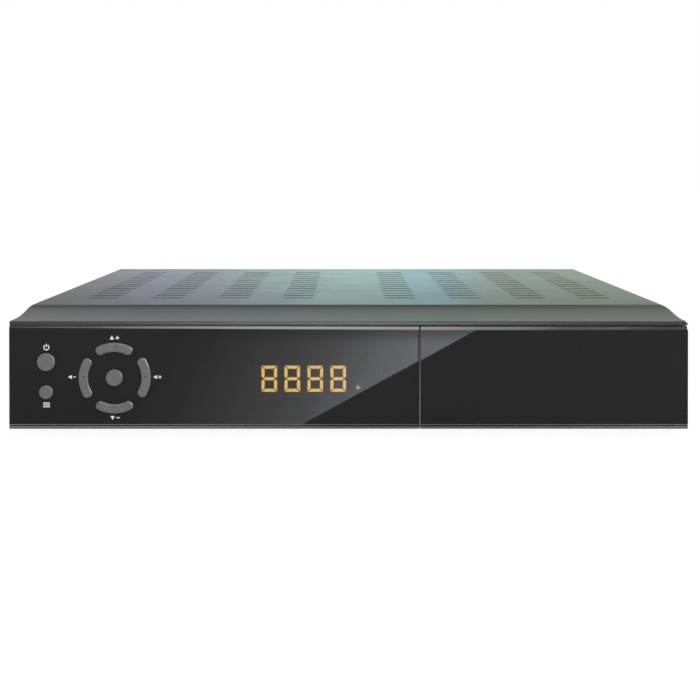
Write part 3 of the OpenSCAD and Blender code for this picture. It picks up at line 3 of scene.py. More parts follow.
import bmesh
import bpy
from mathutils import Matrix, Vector


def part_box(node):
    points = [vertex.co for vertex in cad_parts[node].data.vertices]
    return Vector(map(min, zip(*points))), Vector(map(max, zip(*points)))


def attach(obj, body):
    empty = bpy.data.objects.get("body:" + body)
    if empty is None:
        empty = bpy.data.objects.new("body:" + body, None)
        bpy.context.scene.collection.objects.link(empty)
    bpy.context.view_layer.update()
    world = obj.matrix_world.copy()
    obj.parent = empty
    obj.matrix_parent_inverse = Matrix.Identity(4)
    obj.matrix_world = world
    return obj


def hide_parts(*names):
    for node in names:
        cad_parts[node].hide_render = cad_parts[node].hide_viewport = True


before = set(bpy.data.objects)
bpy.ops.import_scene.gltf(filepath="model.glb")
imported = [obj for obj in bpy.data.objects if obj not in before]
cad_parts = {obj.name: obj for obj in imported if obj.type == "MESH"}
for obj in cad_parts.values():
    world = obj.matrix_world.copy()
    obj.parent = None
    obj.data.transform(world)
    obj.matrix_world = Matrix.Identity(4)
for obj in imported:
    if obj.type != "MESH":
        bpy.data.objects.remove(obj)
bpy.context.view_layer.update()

# ---- view ----
# The camera stands half a metre in front of the receiver and looks over its top. It is almost level,
# which keeps the front's edges upright, and the lens is shifted to bring the receiver into the middle.
mm = 0.001
front_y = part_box("display_panel")[0].y
eye_mm = (-1.018, -497.31, 115.08)
camera_tilt, lens_length, sensor_wide = 2.5, 58.227, 36
lens_shift = (0.005, -0.1753)

camera = bpy.data.objects.new("camera", bpy.data.cameras.new("camera"))
bpy.context.scene.collection.objects.link(camera)
bpy.context.scene.camera = camera
camera.location = (eye_mm[0] * mm, front_y + eye_mm[1] * mm, eye_mm[2] * mm)
camera.rotation_euler = (math.radians(90 - camera_tilt), 0, 0)
camera.data.lens = lens_length
camera.data.sensor_width = sensor_wide
camera.data.shift_x, camera.data.shift_y = lens_shift
camera.data.clip_start = 0.01
bpy.context.scene.view_settings.view_transform = "Standard"


# ---- light ----
# White paper all round, which lights everything evenly, and a wide soft lamp overhead. Glossy faces
# see a studio: dark in front and below but for one large light that ends in a slanting edge. They
# alone also see a small lamp far to the right, which puts glints on rounded edges.
def shade(tree, kind, inputs=(), **settings):
    """Adds a shader node. Its inputs are linked where they are sockets, and set otherwise."""
    made = tree.nodes.new("ShaderNode" + kind)
    for name, value in settings.items():
        setattr(made, name, value)
    for name, value in dict(inputs).items():
        if isinstance(value, bpy.types.NodeSocket):
            tree.links.new(value, made.inputs[name])
        else:
            made.inputs[name].default_value = value
    return made


def sums(tree, operation, a, b=0.0):
    return shade(tree, "Math", {0: a, 1: b}, operation=operation).outputs[0]


def ramp(tree, value, low, high, at_low=0.0, at_high=1.0, smooth=True):
    """Goes from at_low to at_high while the value goes from low to high."""
    return shade(tree, "MapRange", {"Value": value, "From Min": low, "From Max": high,
                 "To Min": at_low, "To Max": at_high},
                 interpolation_type="SMOOTHSTEP" if smooth else "LINEAR").outputs[0]


def colour_ramp(tree, value, stops):
    """Blends softly from one stop to the next, each a place and its colour."""
    low, high = stops[0][0], stops[-1][0]
    made = shade(tree, "ValToRGB", {0: ramp(tree, value, low, high, smooth=False)})
    made.color_ramp.interpolation = "EASE"
    marks = made.color_ramp.elements
    while len(marks) < len(stops):
        marks.new(0.5)
    for mark, stop in zip(marks, stops):
        mark.position = (stop[0] - low) / (high - low)
    for mark, stop in zip(marks, stops):
        mark.color = (*stop[1], 1)
    return made.outputs[0]


def mix(tree, share, a, b, blend="MIX"):
    made = shade(tree, "Mix", data_type="RGBA", blend_type=blend)
    for index, value in ((0, share), (6, a), (7, b)):
        if isinstance(value, bpy.types.NodeSocket):
            tree.links.new(value, made.inputs[index])
        else:
            made.inputs[index].default_value = value if index == 0 else (*value, 1)
    return made.outputs[2]


def grey(level):
    return (level, level, level)


world = bpy.data.worlds.new("studio")
bpy.context.scene.world = world
world.use_nodes = True
world.cycles.sampling_method = "NONE"
studio = world.node_tree
studio.nodes.clear()
ways = shade(studio, "SeparateXYZ", {0: shade(studio, "TexCoord").outputs["Generated"]}).outputs
depth = sums(studio, "MAXIMUM", sums(studio, "ABSOLUTE", ways[1]), 0.02)
across = sums(studio, "DIVIDE", ways[0], depth)
rise = sums(studio, "DIVIDE", ways[2], depth)

# the large light in front, seen in the glossy panel: brighter to the right, with a slanting edge. Its
# bands of one brightness lean too, about a point low in it, and it dims towards its top
light_u = ((-0.16, grey(0.0)), (-0.129, grey(0.10)), (-0.0935, grey(0.35)),
           (-0.067, (0.53, 0.54, 0.54)), (-0.040, (0.74, 0.75, 0.76)), (-0.014, (1.03, 1.06, 1.10)),
           (0.0125, (1.60, 1.66, 1.78)), (0.039, (2.22, 2.30, 2.52)), (0.066, (2.66, 2.72, 3.0)),
           (0.11, (3.0, 3.05, 3.3)))
lean_from, band_lean, edge_slope = 0.151, 0.5, 0.556
edge_fade, top_fade, top_share = (-0.1978, -0.1971), (-0.148, -0.1345), 0.5
leaning = sums(studio, "SUBTRACT", across,
               sums(studio, "MULTIPLY", sums(studio, "ADD", rise, lean_from), band_lean))
big_light = colour_ramp(studio, leaning, light_u)
slant = sums(studio, "SUBTRACT", rise, sums(studio, "MULTIPLY", across, edge_slope))
big_edge = ramp(studio, slant, *edge_fade)
big_top = ramp(studio, rise, *top_fade, 1.0, top_share)
in_front = sums(studio, "MULTIPLY", big_edge, big_top)
below_front = mix(studio, in_front, grey(0.0), big_light)

# the room above the horizon, from the coloured wall behind, over the ceiling, to the window in front.
# The angle that sweeps over it starts at the wall's foot, and each pair is where one part fades into
# the next
turned = shade(studio, "Math", {0: ways[2], 1: ways[1]}, operation="ARCTAN2").outputs[0]
sweep = shade(studio, "Math", {0: turned, 1: 1.5 * math.pi, 2: -0.5 * math.pi},
              operation="WRAP").outputs[0]
wall_foot, wall_head, ceiling_start = (0.070, 0.114), (0.13, 0.25), (0.20, 0.55)
ceiling_middle, dark_start, window_start = (0.58, 0.85), (1.08, 1.32), (1.95, 2.15)
horizon, side_start, ground_turn = (-0.134, -0.115), (0.6, 2.0), (-0.2, 0.4)
wall_x = ((-0.40, (0.26, 0.26, 0.27)), (-0.25, (0.31, 0.31, 0.31)), (-0.21, (0.35, 0.35, 0.38)),
          (-0.17, (0.39, 0.42, 0.50)), (-0.125, (0.40, 0.46, 0.51)), (-0.075, (0.45, 0.57, 0.58)),
          (-0.01, (0.50, 0.70, 0.67)), (0.03, (0.49, 0.71, 0.69)), (0.075, (0.44, 0.66, 0.72)),
          (0.13, (0.41, 0.52, 0.46)), (0.20, (0.40, 0.49, 0.40)), (0.40, (0.38, 0.45, 0.37)))
wall = colour_ramp(studio, ways[0], wall_x)
window_x = ((-0.36, grey(0.03)), (-0.27, grey(0.05)), (-0.22, grey(0.20)), (-0.17, grey(0.62)),
            (-0.10, grey(0.95)), (0.04, (1.0, 1.0, 0.98)), (0.13, grey(0.52)), (0.20, grey(0.16)),
            (0.36, grey(0.03)))
window = colour_ramp(studio, ways[0], window_x)
low = mix(studio, ramp(studio, sweep, *wall_foot, smooth=False), grey(2.1), grey(0.34))
low = mix(studio, ramp(studio, sweep, *wall_head), low, grey(0.84))
wall = mix(studio, 1.0, wall, low, "MULTIPLY")
tint_x = ((-0.30, (1.02, 1.0, 0.98)), (-0.185, (0.98, 0.98, 1.08)), (-0.13, (0.93, 1.02, 1.14)),
          (-0.07, (0.92, 1.06, 1.10)), (0.0, (0.94, 1.07, 1.0)), (0.03, (0.88, 1.08, 0.98)),
          (0.075, (0.84, 1.14, 1.06)), (0.13, (0.93, 1.07, 0.93)), (0.30, (0.93, 1.07, 0.92)))
ceiling = mix(studio, ramp(studio, sweep, *ceiling_middle), grey(0.565), grey(0.635))
tint = colour_ramp(studio, ways[0], tint_x)
ceiling = mix(studio, 1.0, tint, ceiling, "MULTIPLY")
sky = mix(studio, ramp(studio, sweep, *ceiling_start), wall, ceiling)
sky = mix(studio, ramp(studio, sweep, *dark_start), sky, grey(0.04))
sky = mix(studio, ramp(studio, sweep, *window_start), sky, window)
side_on = ramp(studio, sums(studio, "ABSOLUTE", across), *side_start)
ground = mix(studio, ramp(studio, ways[1], *ground_turn), below_front, grey(0.5))
room = mix(studio, ramp(studio, rise, *horizon), ground, sky)

# what lies to the sides: on the left pale paper below and a dim wall above it, on the right a pale wall
left_foot, left_head, side_turn = (-0.168, -0.150), (-0.1, 0.2), (-0.5, 0.5)
left_side = mix(studio, ramp(studio, ways[2], *left_foot), grey(0.80), grey(0.10))
left_side = mix(studio, ramp(studio, ways[2], *left_head), left_side, grey(0.25))
both_sides = mix(studio, ramp(studio, ways[0], *side_turn), left_side, grey(0.85))
room = mix(studio, side_on, room, both_sides)

even_light = 0.76
path = shade(studio, "LightPath").outputs
plain = shade(studio, "Background", {"Color": (1, 1, 1, 1), "Strength": even_light}).outputs[0]
paper = shade(studio, "Background", {"Color": (1, 1, 1, 1), "Strength": 1.0}).outputs[0]
gloss = shade(studio, "Background", {"Color": room, "Strength": 1.0}).outputs[0]
seen = shade(studio, "MixShader", {0: path["Is Glossy Ray"], 1: plain, 2: gloss}).outputs[0]
seen = shade(studio, "MixShader", {0: path["Is Camera Ray"], 1: seen, 2: paper}).outputs[0]
shade(studio, "OutputWorld", {"Surface": seen})


def area_lamp(name, spot, wide, deep, watts):
    made = bpy.data.objects.new(name, bpy.data.lights.new(name, "AREA"))
    bpy.context.scene.collection.objects.link(made)
    made.data.shape = "RECTANGLE"
    made.data.size, made.data.size_y, made.data.energy = wide, deep, watts
    made.location = spot
    made.rotation_euler = Vector(spot).to_track_quat("Z", "Y").to_euler()
    return made


area_lamp("overhead_lamp", (0.5, -0.55, 1.2), 1.6, 1.0, 14.0).visible_glossy = False
rim_lamp = area_lamp("rim_lamp", (0.85, -0.41, 0.60), 0.6, 0.6, 12.0)
rim_lamp.visible_diffuse = rim_lamp.visible_transmission = rim_lamp.visible_volume_scatter = False


# ---- floor ----
# A wide sheet of white paper, which the camera sees almost evenly white with a faint shadow. Only
# under the receiver is it left to the real light, so that the gap below the front is dark.
def from_faces(name, points, faces):
    mesh = bpy.data.meshes.new(name)
    mesh.from_pydata([Vector(p) for p in points], [], faces)
    mesh.update()
    made = bpy.data.objects.new(name, mesh)
    bpy.context.scene.collection.objects.link(made)
    return made


def new_finish(name):
    """An empty material and its node tree."""
    made = bpy.data.materials.new(name)
    made.use_nodes = True
    made.node_tree.nodes.clear()
    return made, made.node_tree


def place(tree):
    return shade(tree, "TexCoord").outputs["Object"]


def xyz(tree):
    return shade(tree, "SeparateXYZ", {0: place(tree)}).outputs


floor_reach, paper_grey, paper_glow, glow_share = 12.0, (0.9, 0.9, 0.9, 1), 1.05, 0.9
under_wide, under_deep = (0.130, 0.140), (0.09345, 0.09375)
floor = from_faces("floor", [(-floor_reach, -floor_reach, 0), (floor_reach, -floor_reach, 0),
                             (floor_reach, floor_reach, 0), (-floor_reach, floor_reach, 0)],
                   [(0, 1, 2, 3)])
white_paper, paper_tree = new_finish("white_paper")
lit_paper = shade(paper_tree, "BsdfDiffuse", {"Color": paper_grey}).outputs[0]
bright_paper = shade(paper_tree, "Emission", {"Color": (1, 1, 1, 1), "Strength": paper_glow}).outputs[0]
spot = xyz(paper_tree)
under = sums(paper_tree, "MULTIPLY",
             ramp(paper_tree, sums(paper_tree, "ABSOLUTE", spot[0]), *under_wide, 1.0, 0.0),
             ramp(paper_tree, sums(paper_tree, "ABSOLUTE", spot[1]), *under_deep, 1.0, 0.0))
open_paper = sums(paper_tree, "SUBTRACT", glow_share, sums(paper_tree, "MULTIPLY", under, glow_share))
seen_paper = sums(paper_tree, "MULTIPLY", shade(paper_tree, "LightPath").outputs["Is Camera Ray"],
                  open_paper)
shade(paper_tree, "OutputMaterial", {"Surface": shade(
    paper_tree, "MixShader", {0: seen_paper, 1: lit_paper, 2: bright_paper}).outputs[0]})
floor.data.materials.append(white_paper)
floor.visible_glossy = False


# ---- base, rear panel and standoffs ----
# The folded base and the rear panel are zinc-plated steel sheet, with its faint flowery grain. The
# standoffs pressed into the base are bright nickel.
def noise(tree, scale, detail=3.0, stretch=None):
    where = place(tree)
    if stretch:
        where = shade(tree, "Mapping", {"Vector": where, "Scale": stretch}).outputs[0]
    return shade(tree, "TexNoise", {"Vector": where, "Scale": scale, "Detail": detail,
                 "Roughness": 0.5}).outputs["Fac"]


def mottled(tree, scale, low=0.0, high=1.0, detail=3.0):
    """A value that wanders between two levels."""
    return ramp(tree, noise(tree, scale, detail), 0.3, 0.7, low, high)


def bumps(tree, height, strength, distance):
    return shade(tree, "Bump", {"Height": height, "Strength": strength,
                 "Distance": distance}).outputs[0]


def surface(tree, **settings):
    names = {key.replace("_", " ").title(): value for key, value in settings.items()}
    names = {"IOR" if key == "Ior" else key: value for key, value in names.items()}
    shade(tree, "OutputMaterial", {"Surface": shade(tree, "BsdfPrincipled", names).outputs[0]})


def dress(finish, *nodes):
    for name in nodes:
        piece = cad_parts[name]
        if not piece.material_slots:
            piece.data.materials.append(finish)
        for holder in piece.material_slots:
            holder.material = finish


zinc, t = new_finish("zinc_steel")
flowers = shade(t, "TexVoronoi", {"Vector": place(t), "Scale": 170.0, "Randomness": 1.0}).outputs["Color"]
flower = shade(t, "SeparateColor", {0: flowers}).outputs[0]
smear = noise(t, 25.0, 4.0)
zinc_colour = mix(t, ramp(t, flower, 0.0, 1.0), (0.50, 0.52, 0.52), (0.62, 0.63, 0.62))
zinc_colour = mix(t, ramp(t, smear, 0.35, 0.7, 0.0, 0.35), zinc_colour, (0.42, 0.43, 0.43))
surface(t, base_color=zinc_colour, metallic=0.9,
        roughness=sums(t, "ADD", ramp(t, flower, 0.0, 1.0, 0.30, 0.40),
                       ramp(t, smear, 0.3, 0.7, 0.0, 0.08)),
        normal=bumps(t, noise(t, 900.0, 2.0), 0.15, 0.0001))
dress(zinc, "chassis_base", "rear_panel")

nickel, t = new_finish("nickel")
tarnish = noise(t, 120.0, 4.0)
surface(t, base_color=mix(t, ramp(t, tarnish, 0.4, 0.75), (0.72, 0.70, 0.66), (0.52, 0.49, 0.45)),
        metallic=1.0, roughness=ramp(t, tarnish, 0.3, 0.75, 0.16, 0.34),
        normal=bumps(t, noise(t, 1500.0, 2.0), 0.1, 0.00005))
dress(nickel, "board_standoffs", "jack_nuts", "inlet_pins", "phono_barrels", "serial_shell",
      "aerial_input", "aerial_loop_output")

# ---- feet and their screws ----
# Four turned rubber feet, slightly dusty at the bottom, each held by a zinc-plated screw up its middle.
rubber, t = new_finish("foot_rubber")
dust = sums(t, "MULTIPLY", ramp(t, noise(t, 300.0, 5.0), 0.45, 0.7), 0.5)
rubber_colour = mix(t, dust, (0.016, 0.016, 0.016), (0.07, 0.068, 0.064))
surface(t, base_color=rubber_colour, roughness=mottled(t, 500.0, 0.62, 0.8),
        normal=bumps(t, noise(t, 2500.0, 2.0), 0.3, 0.0001))
dress(rubber, "rubber_feet")

screw_steel, t = new_finish("screw_steel")
plating = noise(t, 700.0, 4.0)
surface(t, base_color=mix(t, ramp(t, plating, 0.35, 0.7), (0.40, 0.40, 0.40), (0.27, 0.27, 0.275)),
        metallic=1.0, roughness=ramp(t, plating, 0.3, 0.7, 0.26, 0.42),
        normal=bumps(t, noise(t, 4000.0, 2.0), 0.2, 0.00004))
dress(screw_steel, "foot_screws", "board_screws", "front_board_screws", "door_hinge_pins")

# ---- boards ----
# The main board is green glass laminate under solder mask, with its copper tracks showing through.
# The power and front boards are tan paper laminate with a printed grid of tracks.
def laminate(name, base, track, scale):
    made, t = new_finish(name)
    cells = shade(t, "TexVoronoi", {"Vector": place(t), "Scale": scale}, distance="CHEBYCHEV",
                  feature="F1").outputs
    runs = ramp(t, shade(t, "TexWave", {"Vector": place(t), "Scale": scale * 2.2, "Distortion": 0.0},
                bands_direction="X").outputs["Fac"], 0.62, 0.70)
    blocks = ramp(t, shade(t, "SeparateColor", {0: cells["Color"]}).outputs[0], 0.42, 0.46)
    tracks = sums(t, "MULTIPLY", runs, blocks)
    clouds = mottled(t, 60.0, 0.0, 0.4, detail=5.0)
    colour = mix(t, clouds, base, tuple(c * 0.6 for c in base))
    surface(t, base_color=mix(t, tracks, colour, track), roughness=ramp(t, tracks, 0.0, 1.0, 0.42, 0.30),
            normal=bumps(t, tracks, 0.3, 0.0001))
    return made


dress(laminate("board_green", (0.012, 0.085, 0.035), (0.03, 0.16, 0.06), 140.0), "main_board")
dress(laminate("board_tan", (0.36, 0.24, 0.10), (0.30, 0.17, 0.07), 90.0), "power_board", "front_board")


# ---- chips, cans, capacitors and cables on the boards ----
# Black moulded chips and sockets, sleeved capacitors with a pale stripe, a ferrite core, tinned steel
# cans and fuse with finger smears, finned aluminium, ivory latch housing and flat cables, and two mains
# wires in brown and blue sleeves. Most of them are soldered to their board.
def moulded(name, dark, light, rough, grain=2200.0, depth=0.00006):
    made, t = new_finish(name)
    cloud = noise(t, 90.0, 4.0)
    surface(t, base_color=mix(t, ramp(t, cloud, 0.3, 0.7), dark, light),
            roughness=ramp(t, cloud, 0.3, 0.7, rough - 0.05, rough + 0.05),
            normal=bumps(t, noise(t, grain, 3.0), 0.35, depth))
    return made


socket_plastic = moulded("socket_plastic", (0.014, 0.014, 0.015), (0.024, 0.024, 0.025), 0.42)
dress(socket_plastic, "decoder_chip", "memory_chips", "tact_switches", "scart_socket_tv",
      "scart_socket_recorder", "phono_blocks", "serial_insert", "mains_inlet", "rocker_housing",
      "upper_eject_key", "lower_eject_key", "remote_eye")
dress(moulded("ferrite", (0.035, 0.035, 0.038), (0.06, 0.06, 0.062), 0.55), "transformer")
dress(moulded("ivory_plastic", (0.60, 0.57, 0.48), (0.68, 0.65, 0.56), 0.40), "latch_housing",
      "front_ribbon", "power_ribbon")

sleeve, t = new_finish("capacitor_sleeve")
turn = shade(t, "TexWave", {"Vector": place(t), "Scale": 28.0, "Distortion": 0.4},
             bands_direction="X").outputs["Fac"]
surface(t, base_color=mix(t, ramp(t, turn, 0.90, 0.93), (0.012, 0.016, 0.045), (0.45, 0.46, 0.48)),
        roughness=mottled(t, 400.0, 0.22, 0.36), coat_weight=0.3,
        normal=bumps(t, noise(t, 700.0), 0.15, 0.0001))
dress(sleeve, "mains_capacitor", "output_capacitors")


def brushed(name, dark, light, rough, stretch):
    made, t = new_finish(name)
    lines = noise(t, 60.0, 4.0, stretch=stretch)
    smear = noise(t, 40.0, 3.0)
    surface(t, base_color=mix(t, ramp(t, lines, 0.3, 0.7), dark, light), metallic=1.0,
            roughness=sums(t, "ADD", ramp(t, lines, 0.3, 0.7, rough - 0.06, rough + 0.06),
                           ramp(t, smear, 0.5, 0.75, 0.0, 0.12)),
            normal=bumps(t, lines, 0.2, 0.00005))
    return made


dress(brushed("tin_plate", (0.60, 0.60, 0.58), (0.74, 0.73, 0.70), 0.28, (1, 6, 6)), "tuner_can",
      "module_cage", "mains_fuse")
dress(brushed("sink_aluminium", (0.50, 0.50, 0.51), (0.62, 0.62, 0.63), 0.36, (8, 1, 8)),
      "chip_heat_sink", "power_heat_sink")

wires, t = new_finish("wire_sleeve")
side = xyz(t)[0]
wire_split, split_soft = -0.098, 0.0002
surface(t, base_color=mix(t, ramp(t, side, wire_split - split_soft, wire_split + split_soft),
                          (0.16, 0.07, 0.03), (0.02, 0.09, 0.30)),
        roughness=mottled(t, 900.0, 0.35, 0.5))
dress(wires, "mains_wires")

# ---- rear sockets ----
# The three sound sockets' collars are coloured so that the leads go in the right holes: white for
# left, red for right and orange for digital. The mains rocker has the usual line and ring moulded in.
collars, t = new_finish("collar_plastic")
side = xyz(t)[0]
red_from, orange_from = (-0.0270, -0.0266), (-0.0140, -0.0136)
collar_colour = mix(t, ramp(t, side, *red_from), (0.70, 0.69, 0.66), (0.45, 0.015, 0.012))
collar_colour = mix(t, ramp(t, side, *orange_from), collar_colour, (0.75, 0.19, 0.01))
surface(t, base_color=mix(t, ramp(t, noise(t, 500.0), 0.4, 0.8, 0.0, 0.15), collar_colour, grey(0.1)),
        roughness=mottled(t, 800.0, 0.30, 0.42),
        normal=bumps(t, noise(t, 2500.0), 0.2, 0.00005))
dress(collars, "phono_collars")

rocker, t = new_finish("rocker_plastic")
parts = xyz(t)
rocker_at, mark_half, rocker_face = (-0.098, 0.0256), 0.0044, (0.1015, 0.1020)
line_wide, line_long = (0.00028, 0.00036), (0.0014, 0.0015)
ring_r, ring_wide = 0.0013, (0.00026, 0.00034)
aside = sums(t, "SUBTRACT", parts[0], rocker_at[0])
upward = sums(t, "SUBTRACT", parts[2], rocker_at[1])
from_line = sums(t, "ABSOLUTE", sums(t, "SUBTRACT", upward, mark_half))
line = sums(t, "MULTIPLY", ramp(t, sums(t, "ABSOLUTE", aside), *line_wide, 1.0, 0.0),
            ramp(t, from_line, *line_long, 1.0, 0.0))
spread = sums(t, "SQRT", sums(t, "ADD", sums(t, "MULTIPLY", aside, aside), sums(
    t, "POWER", sums(t, "ADD", upward, mark_half), 2.0)))
ring = ramp(t, sums(t, "ABSOLUTE", sums(t, "SUBTRACT", spread, ring_r)), *ring_wide, 1.0, 0.0)
outside = ramp(t, parts[1], *rocker_face)
marks = sums(t, "MULTIPLY", sums(t, "MAXIMUM", line, ring), outside)
surface(t, base_color=mix(t, marks, (0.016, 0.016, 0.017), (0.72, 0.72, 0.70)),
        roughness=mottled(t, 600.0, 0.24, 0.36),
        normal=bumps(t, noise(t, 2500.0), 0.2, 0.00004))
dress(rocker, "mains_rocker")

# ---- inner frame and latch ----
# The black moulding behind the front has the fine spark grain of its mould, and clips to the base. The
# latch's plunger, which the flap pushes, is of the same plastic.
dress(moulded("frame_plastic", (0.012, 0.012, 0.013), (0.020, 0.020, 0.021), 0.5, 3000.0, 0.0001),
      "fascia_frame", "latch_plunger")

# ---- display ----
# Behind the smoked panel a black-faced block carries four digits of amber bars, each brighter along its
# middle, and a green light stands beside them.
digit_count, digit_x, digit_z, digit_pitch = 4, -20.0, 25.95, 10.2
digit_wide, digit_tall, bar_wide, bar_gap = 7.15, 11.9, 1.6, 0.26
bar_count, bar_front, bar_thick, rim_wide, rim_deep = 7, 3.1, 0.3, 0.26, 0.12


def at(x, y, z):
    return (x * mm, front_y + y * mm, z * mm)


def bar_outlines(inset):
    """The seven bars of one digit about its middle: long ones mitred at the corners, and one across."""
    wide, tall, line = digit_wide / 2 - inset, digit_tall / 2 - inset, bar_wide - 2 * inset
    gap = bar_gap / 2 + inset * 0.75
    flat = [(-wide + gap, tall), (wide - gap, tall), (wide - line - gap, tall - line),
            (-wide + line + gap, tall - line)]
    middle, end = bar_wide / 2 - inset, digit_wide / 2 - bar_wide / 2 - gap
    across_bar = [(-end, 0), (-end + middle, middle), (end - middle, middle), (end, 0),
                  (end - middle, -middle), (-end + middle, -middle)]
    foot = bar_wide / 2 + gap
    upright = [(-wide, tall - gap), (-wide + line, tall - line - gap), (-wide + line, foot),
               (-wide + line / 2, gap), (-wide, foot)]
    yield flat
    yield [(u, -v) for u, v in reversed(flat)]
    yield across_bar
    for flip in (1, -1):
        for side in (1, -1):
            shape = [(u * side, v * flip) for u, v in upright]
            yield shape if flip * side == 1 else shape[::-1]


def stack(loops, closed=True):
    """Joins rings of points, each with the same count, and caps both ends."""
    points = [p for loop in loops for p in loop]
    count = len(loops[0])
    faces = []
    for level in range(len(loops) - 1):
        for k in range(count):
            a, b = level * count + k, level * count + (k + 1) % count
            faces.append((a, b, b + count, a + count))
    if closed:
        faces.append(tuple(reversed(range(count))))
        faces.append(tuple(range(len(points) - count, len(points))))
    return points, faces


def gather(shapes):
    points, faces = [], []
    for more_points, more_faces in shapes:
        faces += [tuple(i + len(points) for i in face) for face in more_faces]
        points += more_points
    return points, faces


def outward(piece):
    """Turns all the faces of a piece outwards."""
    made = bmesh.new()
    made.from_mesh(piece.data)
    bmesh.ops.recalc_face_normals(made, faces=made.faces)
    made.to_mesh(piece.data)
    made.free()
    return piece


bars = []
levels = [(list(bar_outlines(inset)), y) for inset, y in (
    (0, bar_thick), (0, rim_deep), (rim_wide * 0.6, rim_deep / 4), (rim_wide, 0))]
for k in range(digit_count):
    middle = digit_x + (k - (digit_count - 1) / 2) * digit_pitch
    for bar in range(bar_count):
        bars.append(stack([[at(middle + u, bar_front + y, digit_z + v) for u, v in outlines[bar]]
                           for outlines, y in levels]))
lit_bars = outward(from_faces("lit_digit_bars", *gather(bars)))
for name, colour, strength in (("amber_rim", (0.88, 0.27, 0.018), 10.5),
                               ("amber_core", (1.0, 0.66, 0.15), 28.5)):
    glow, t = new_finish(name)
    warm = mix(t, mottled(t, 900.0), colour, tuple(c * 0.9 for c in colour))
    surface(t, base_color=(0.25, 0.12, 0.04, 1), roughness=0.5, emission_color=warm,
            emission_strength=strength)
    lit_bars.data.materials.append(glow)
for face in lit_bars.data.polygons:
    face.material_index = 1 if face.normal.y < -0.9 else 0
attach(lit_bars, "case")
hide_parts("digit_bars")

face_black, t = new_finish("display_resin")
resin_from = front_y + 0.0038
from_face = sums(t, "SUBTRACT", xyz(t)[1], resin_from)
resin = mix(t, mottled(t, 200.0), (0.20, 0.20, 0.19), (0.26, 0.26, 0.25))
surface(t, base_color=mix(t, ramp(t, from_face, -0.0001, 0.0001), (0.006, 0.006, 0.006), resin),
        roughness=mottled(t, 1500.0, 0.55, 0.7))
dress(face_black, "display_block")

green_glow, t = new_finish("green_light")
light_at, light_core, light_rim = (0.0041, 0.0219), (0.0002, 0.0008), (0.0008, 0.0017)
parts = xyz(t)
away = sums(t, "SQRT", sums(t, "ADD", sums(t, "POWER", sums(t, "SUBTRACT", parts[0], light_at[0]), 2.0),
            sums(t, "POWER", sums(t, "SUBTRACT", parts[2], light_at[1]), 2.0)))
glow_colour = mix(t, ramp(t, away, *light_core), (0.45, 1.0, 0.55), (0.025, 0.26, 0.10))
glow_colour = mix(t, ramp(t, away, *light_rim), glow_colour, (0.0, 0.012, 0.005))
surface(t, base_color=(0.01, 0.04, 0.02, 1), roughness=0.3, emission_color=glow_colour,
        emission_strength=21.0)
dress(green_glow, "status_light")

# ---- glossy front panel ----
# Moulded in smoked acrylic and painted black on the back but for two windows, for the display and the
# remote-control eye. A painted highlight, a lighter metal finish, stands for the light that its sloping
# upper edge catches, and a fine groove parts the satin rail along its foot. A web at its right end stands
# behind the gap to the flap.
panel_z0, edge_deep, edge_soft = 3.92, 0.55, 0.15
rail_z1, groove_z1, line_z1, groove_deep, rail_cut, rail_soft = 5.2, 5.65, 6.08, 0.4, 0.25, 0.1


def panel_profile(thick, top, edge_high):
    """The outline of a front panel from the side: rail, groove, face and sloping upper edge."""
    points = [(thick, panel_z0), (rail_cut, panel_z0), (rail_cut * 0.3, panel_z0 + rail_cut * 0.3),
              (0, panel_z0 + rail_cut), (0, rail_z1 - rail_soft), (rail_soft, rail_z1),
              (groove_deep, rail_z1), (groove_deep, groove_z1), (rail_soft, groove_z1),
              (0, groove_z1 + rail_soft), (0, line_z1)]
    slope = edge_deep / edge_high
    points += [(0, top - edge_high - edge_soft), (0.02, top - edge_high - edge_soft * 0.4),
               (0.07, top - edge_high + edge_soft * 0.4)]
    points += [(edge_deep - 0.08 * slope, top - 0.12), (edge_deep + 0.06, top - 0.03),
               (edge_deep + 0.2, top)]
    return points + [(thick, top)]


def glossy_bar(thick, *ends):
    """The profile carried between two ends. Each end gives its place, how far its foot spreads, how
    much it is rounded, its top and the height of its sloping edge."""
    turns = [(0.0, 1.0)]
    turns += [(1 - math.cos(math.radians(a)), 1 - math.sin(math.radians(a))) for a in (22, 45, 67, 90)]
    rings = []
    for way, (x, lean, soft, top, edge_high) in zip((1, -1), ends):
        end_rings = []
        for along, back in turns:
            profile = panel_profile(thick, top - soft * back * 0.8, edge_high)
            end_rings.append([at(x + way * (soft * along - lean * (top - z) / (top - panel_z0)),
                                 y + soft * back * (1 - y / thick), z) for y, z in profile])
        rings += end_rings[::way]
    return stack(rings)


def punch(piece, cutter):
    """Takes the cutter's shapes out of a piece."""
    outward(cutter)
    tool = piece.modifiers.new("punch", "BOOLEAN")
    tool.object, tool.solver, tool.operation = cutter, "EXACT", "DIFFERENCE"
    punched = piece.evaluated_get(bpy.context.evaluated_depsgraph_get())
    mesh = bpy.data.meshes.new_from_object(punched)
    piece.modifiers.clear()
    piece.data = mesh
    bpy.data.objects.remove(cutter)


def smooth(piece, angle=35.0):
    """Shades a piece smooth but for the edges that turn by more than the angle."""
    piece.data.shade_smooth()
    piece.data.set_sharp_from_angle(angle=math.radians(angle))
    piece.modifiers.new("even", "WEIGHTED_NORMAL").keep_sharp = True


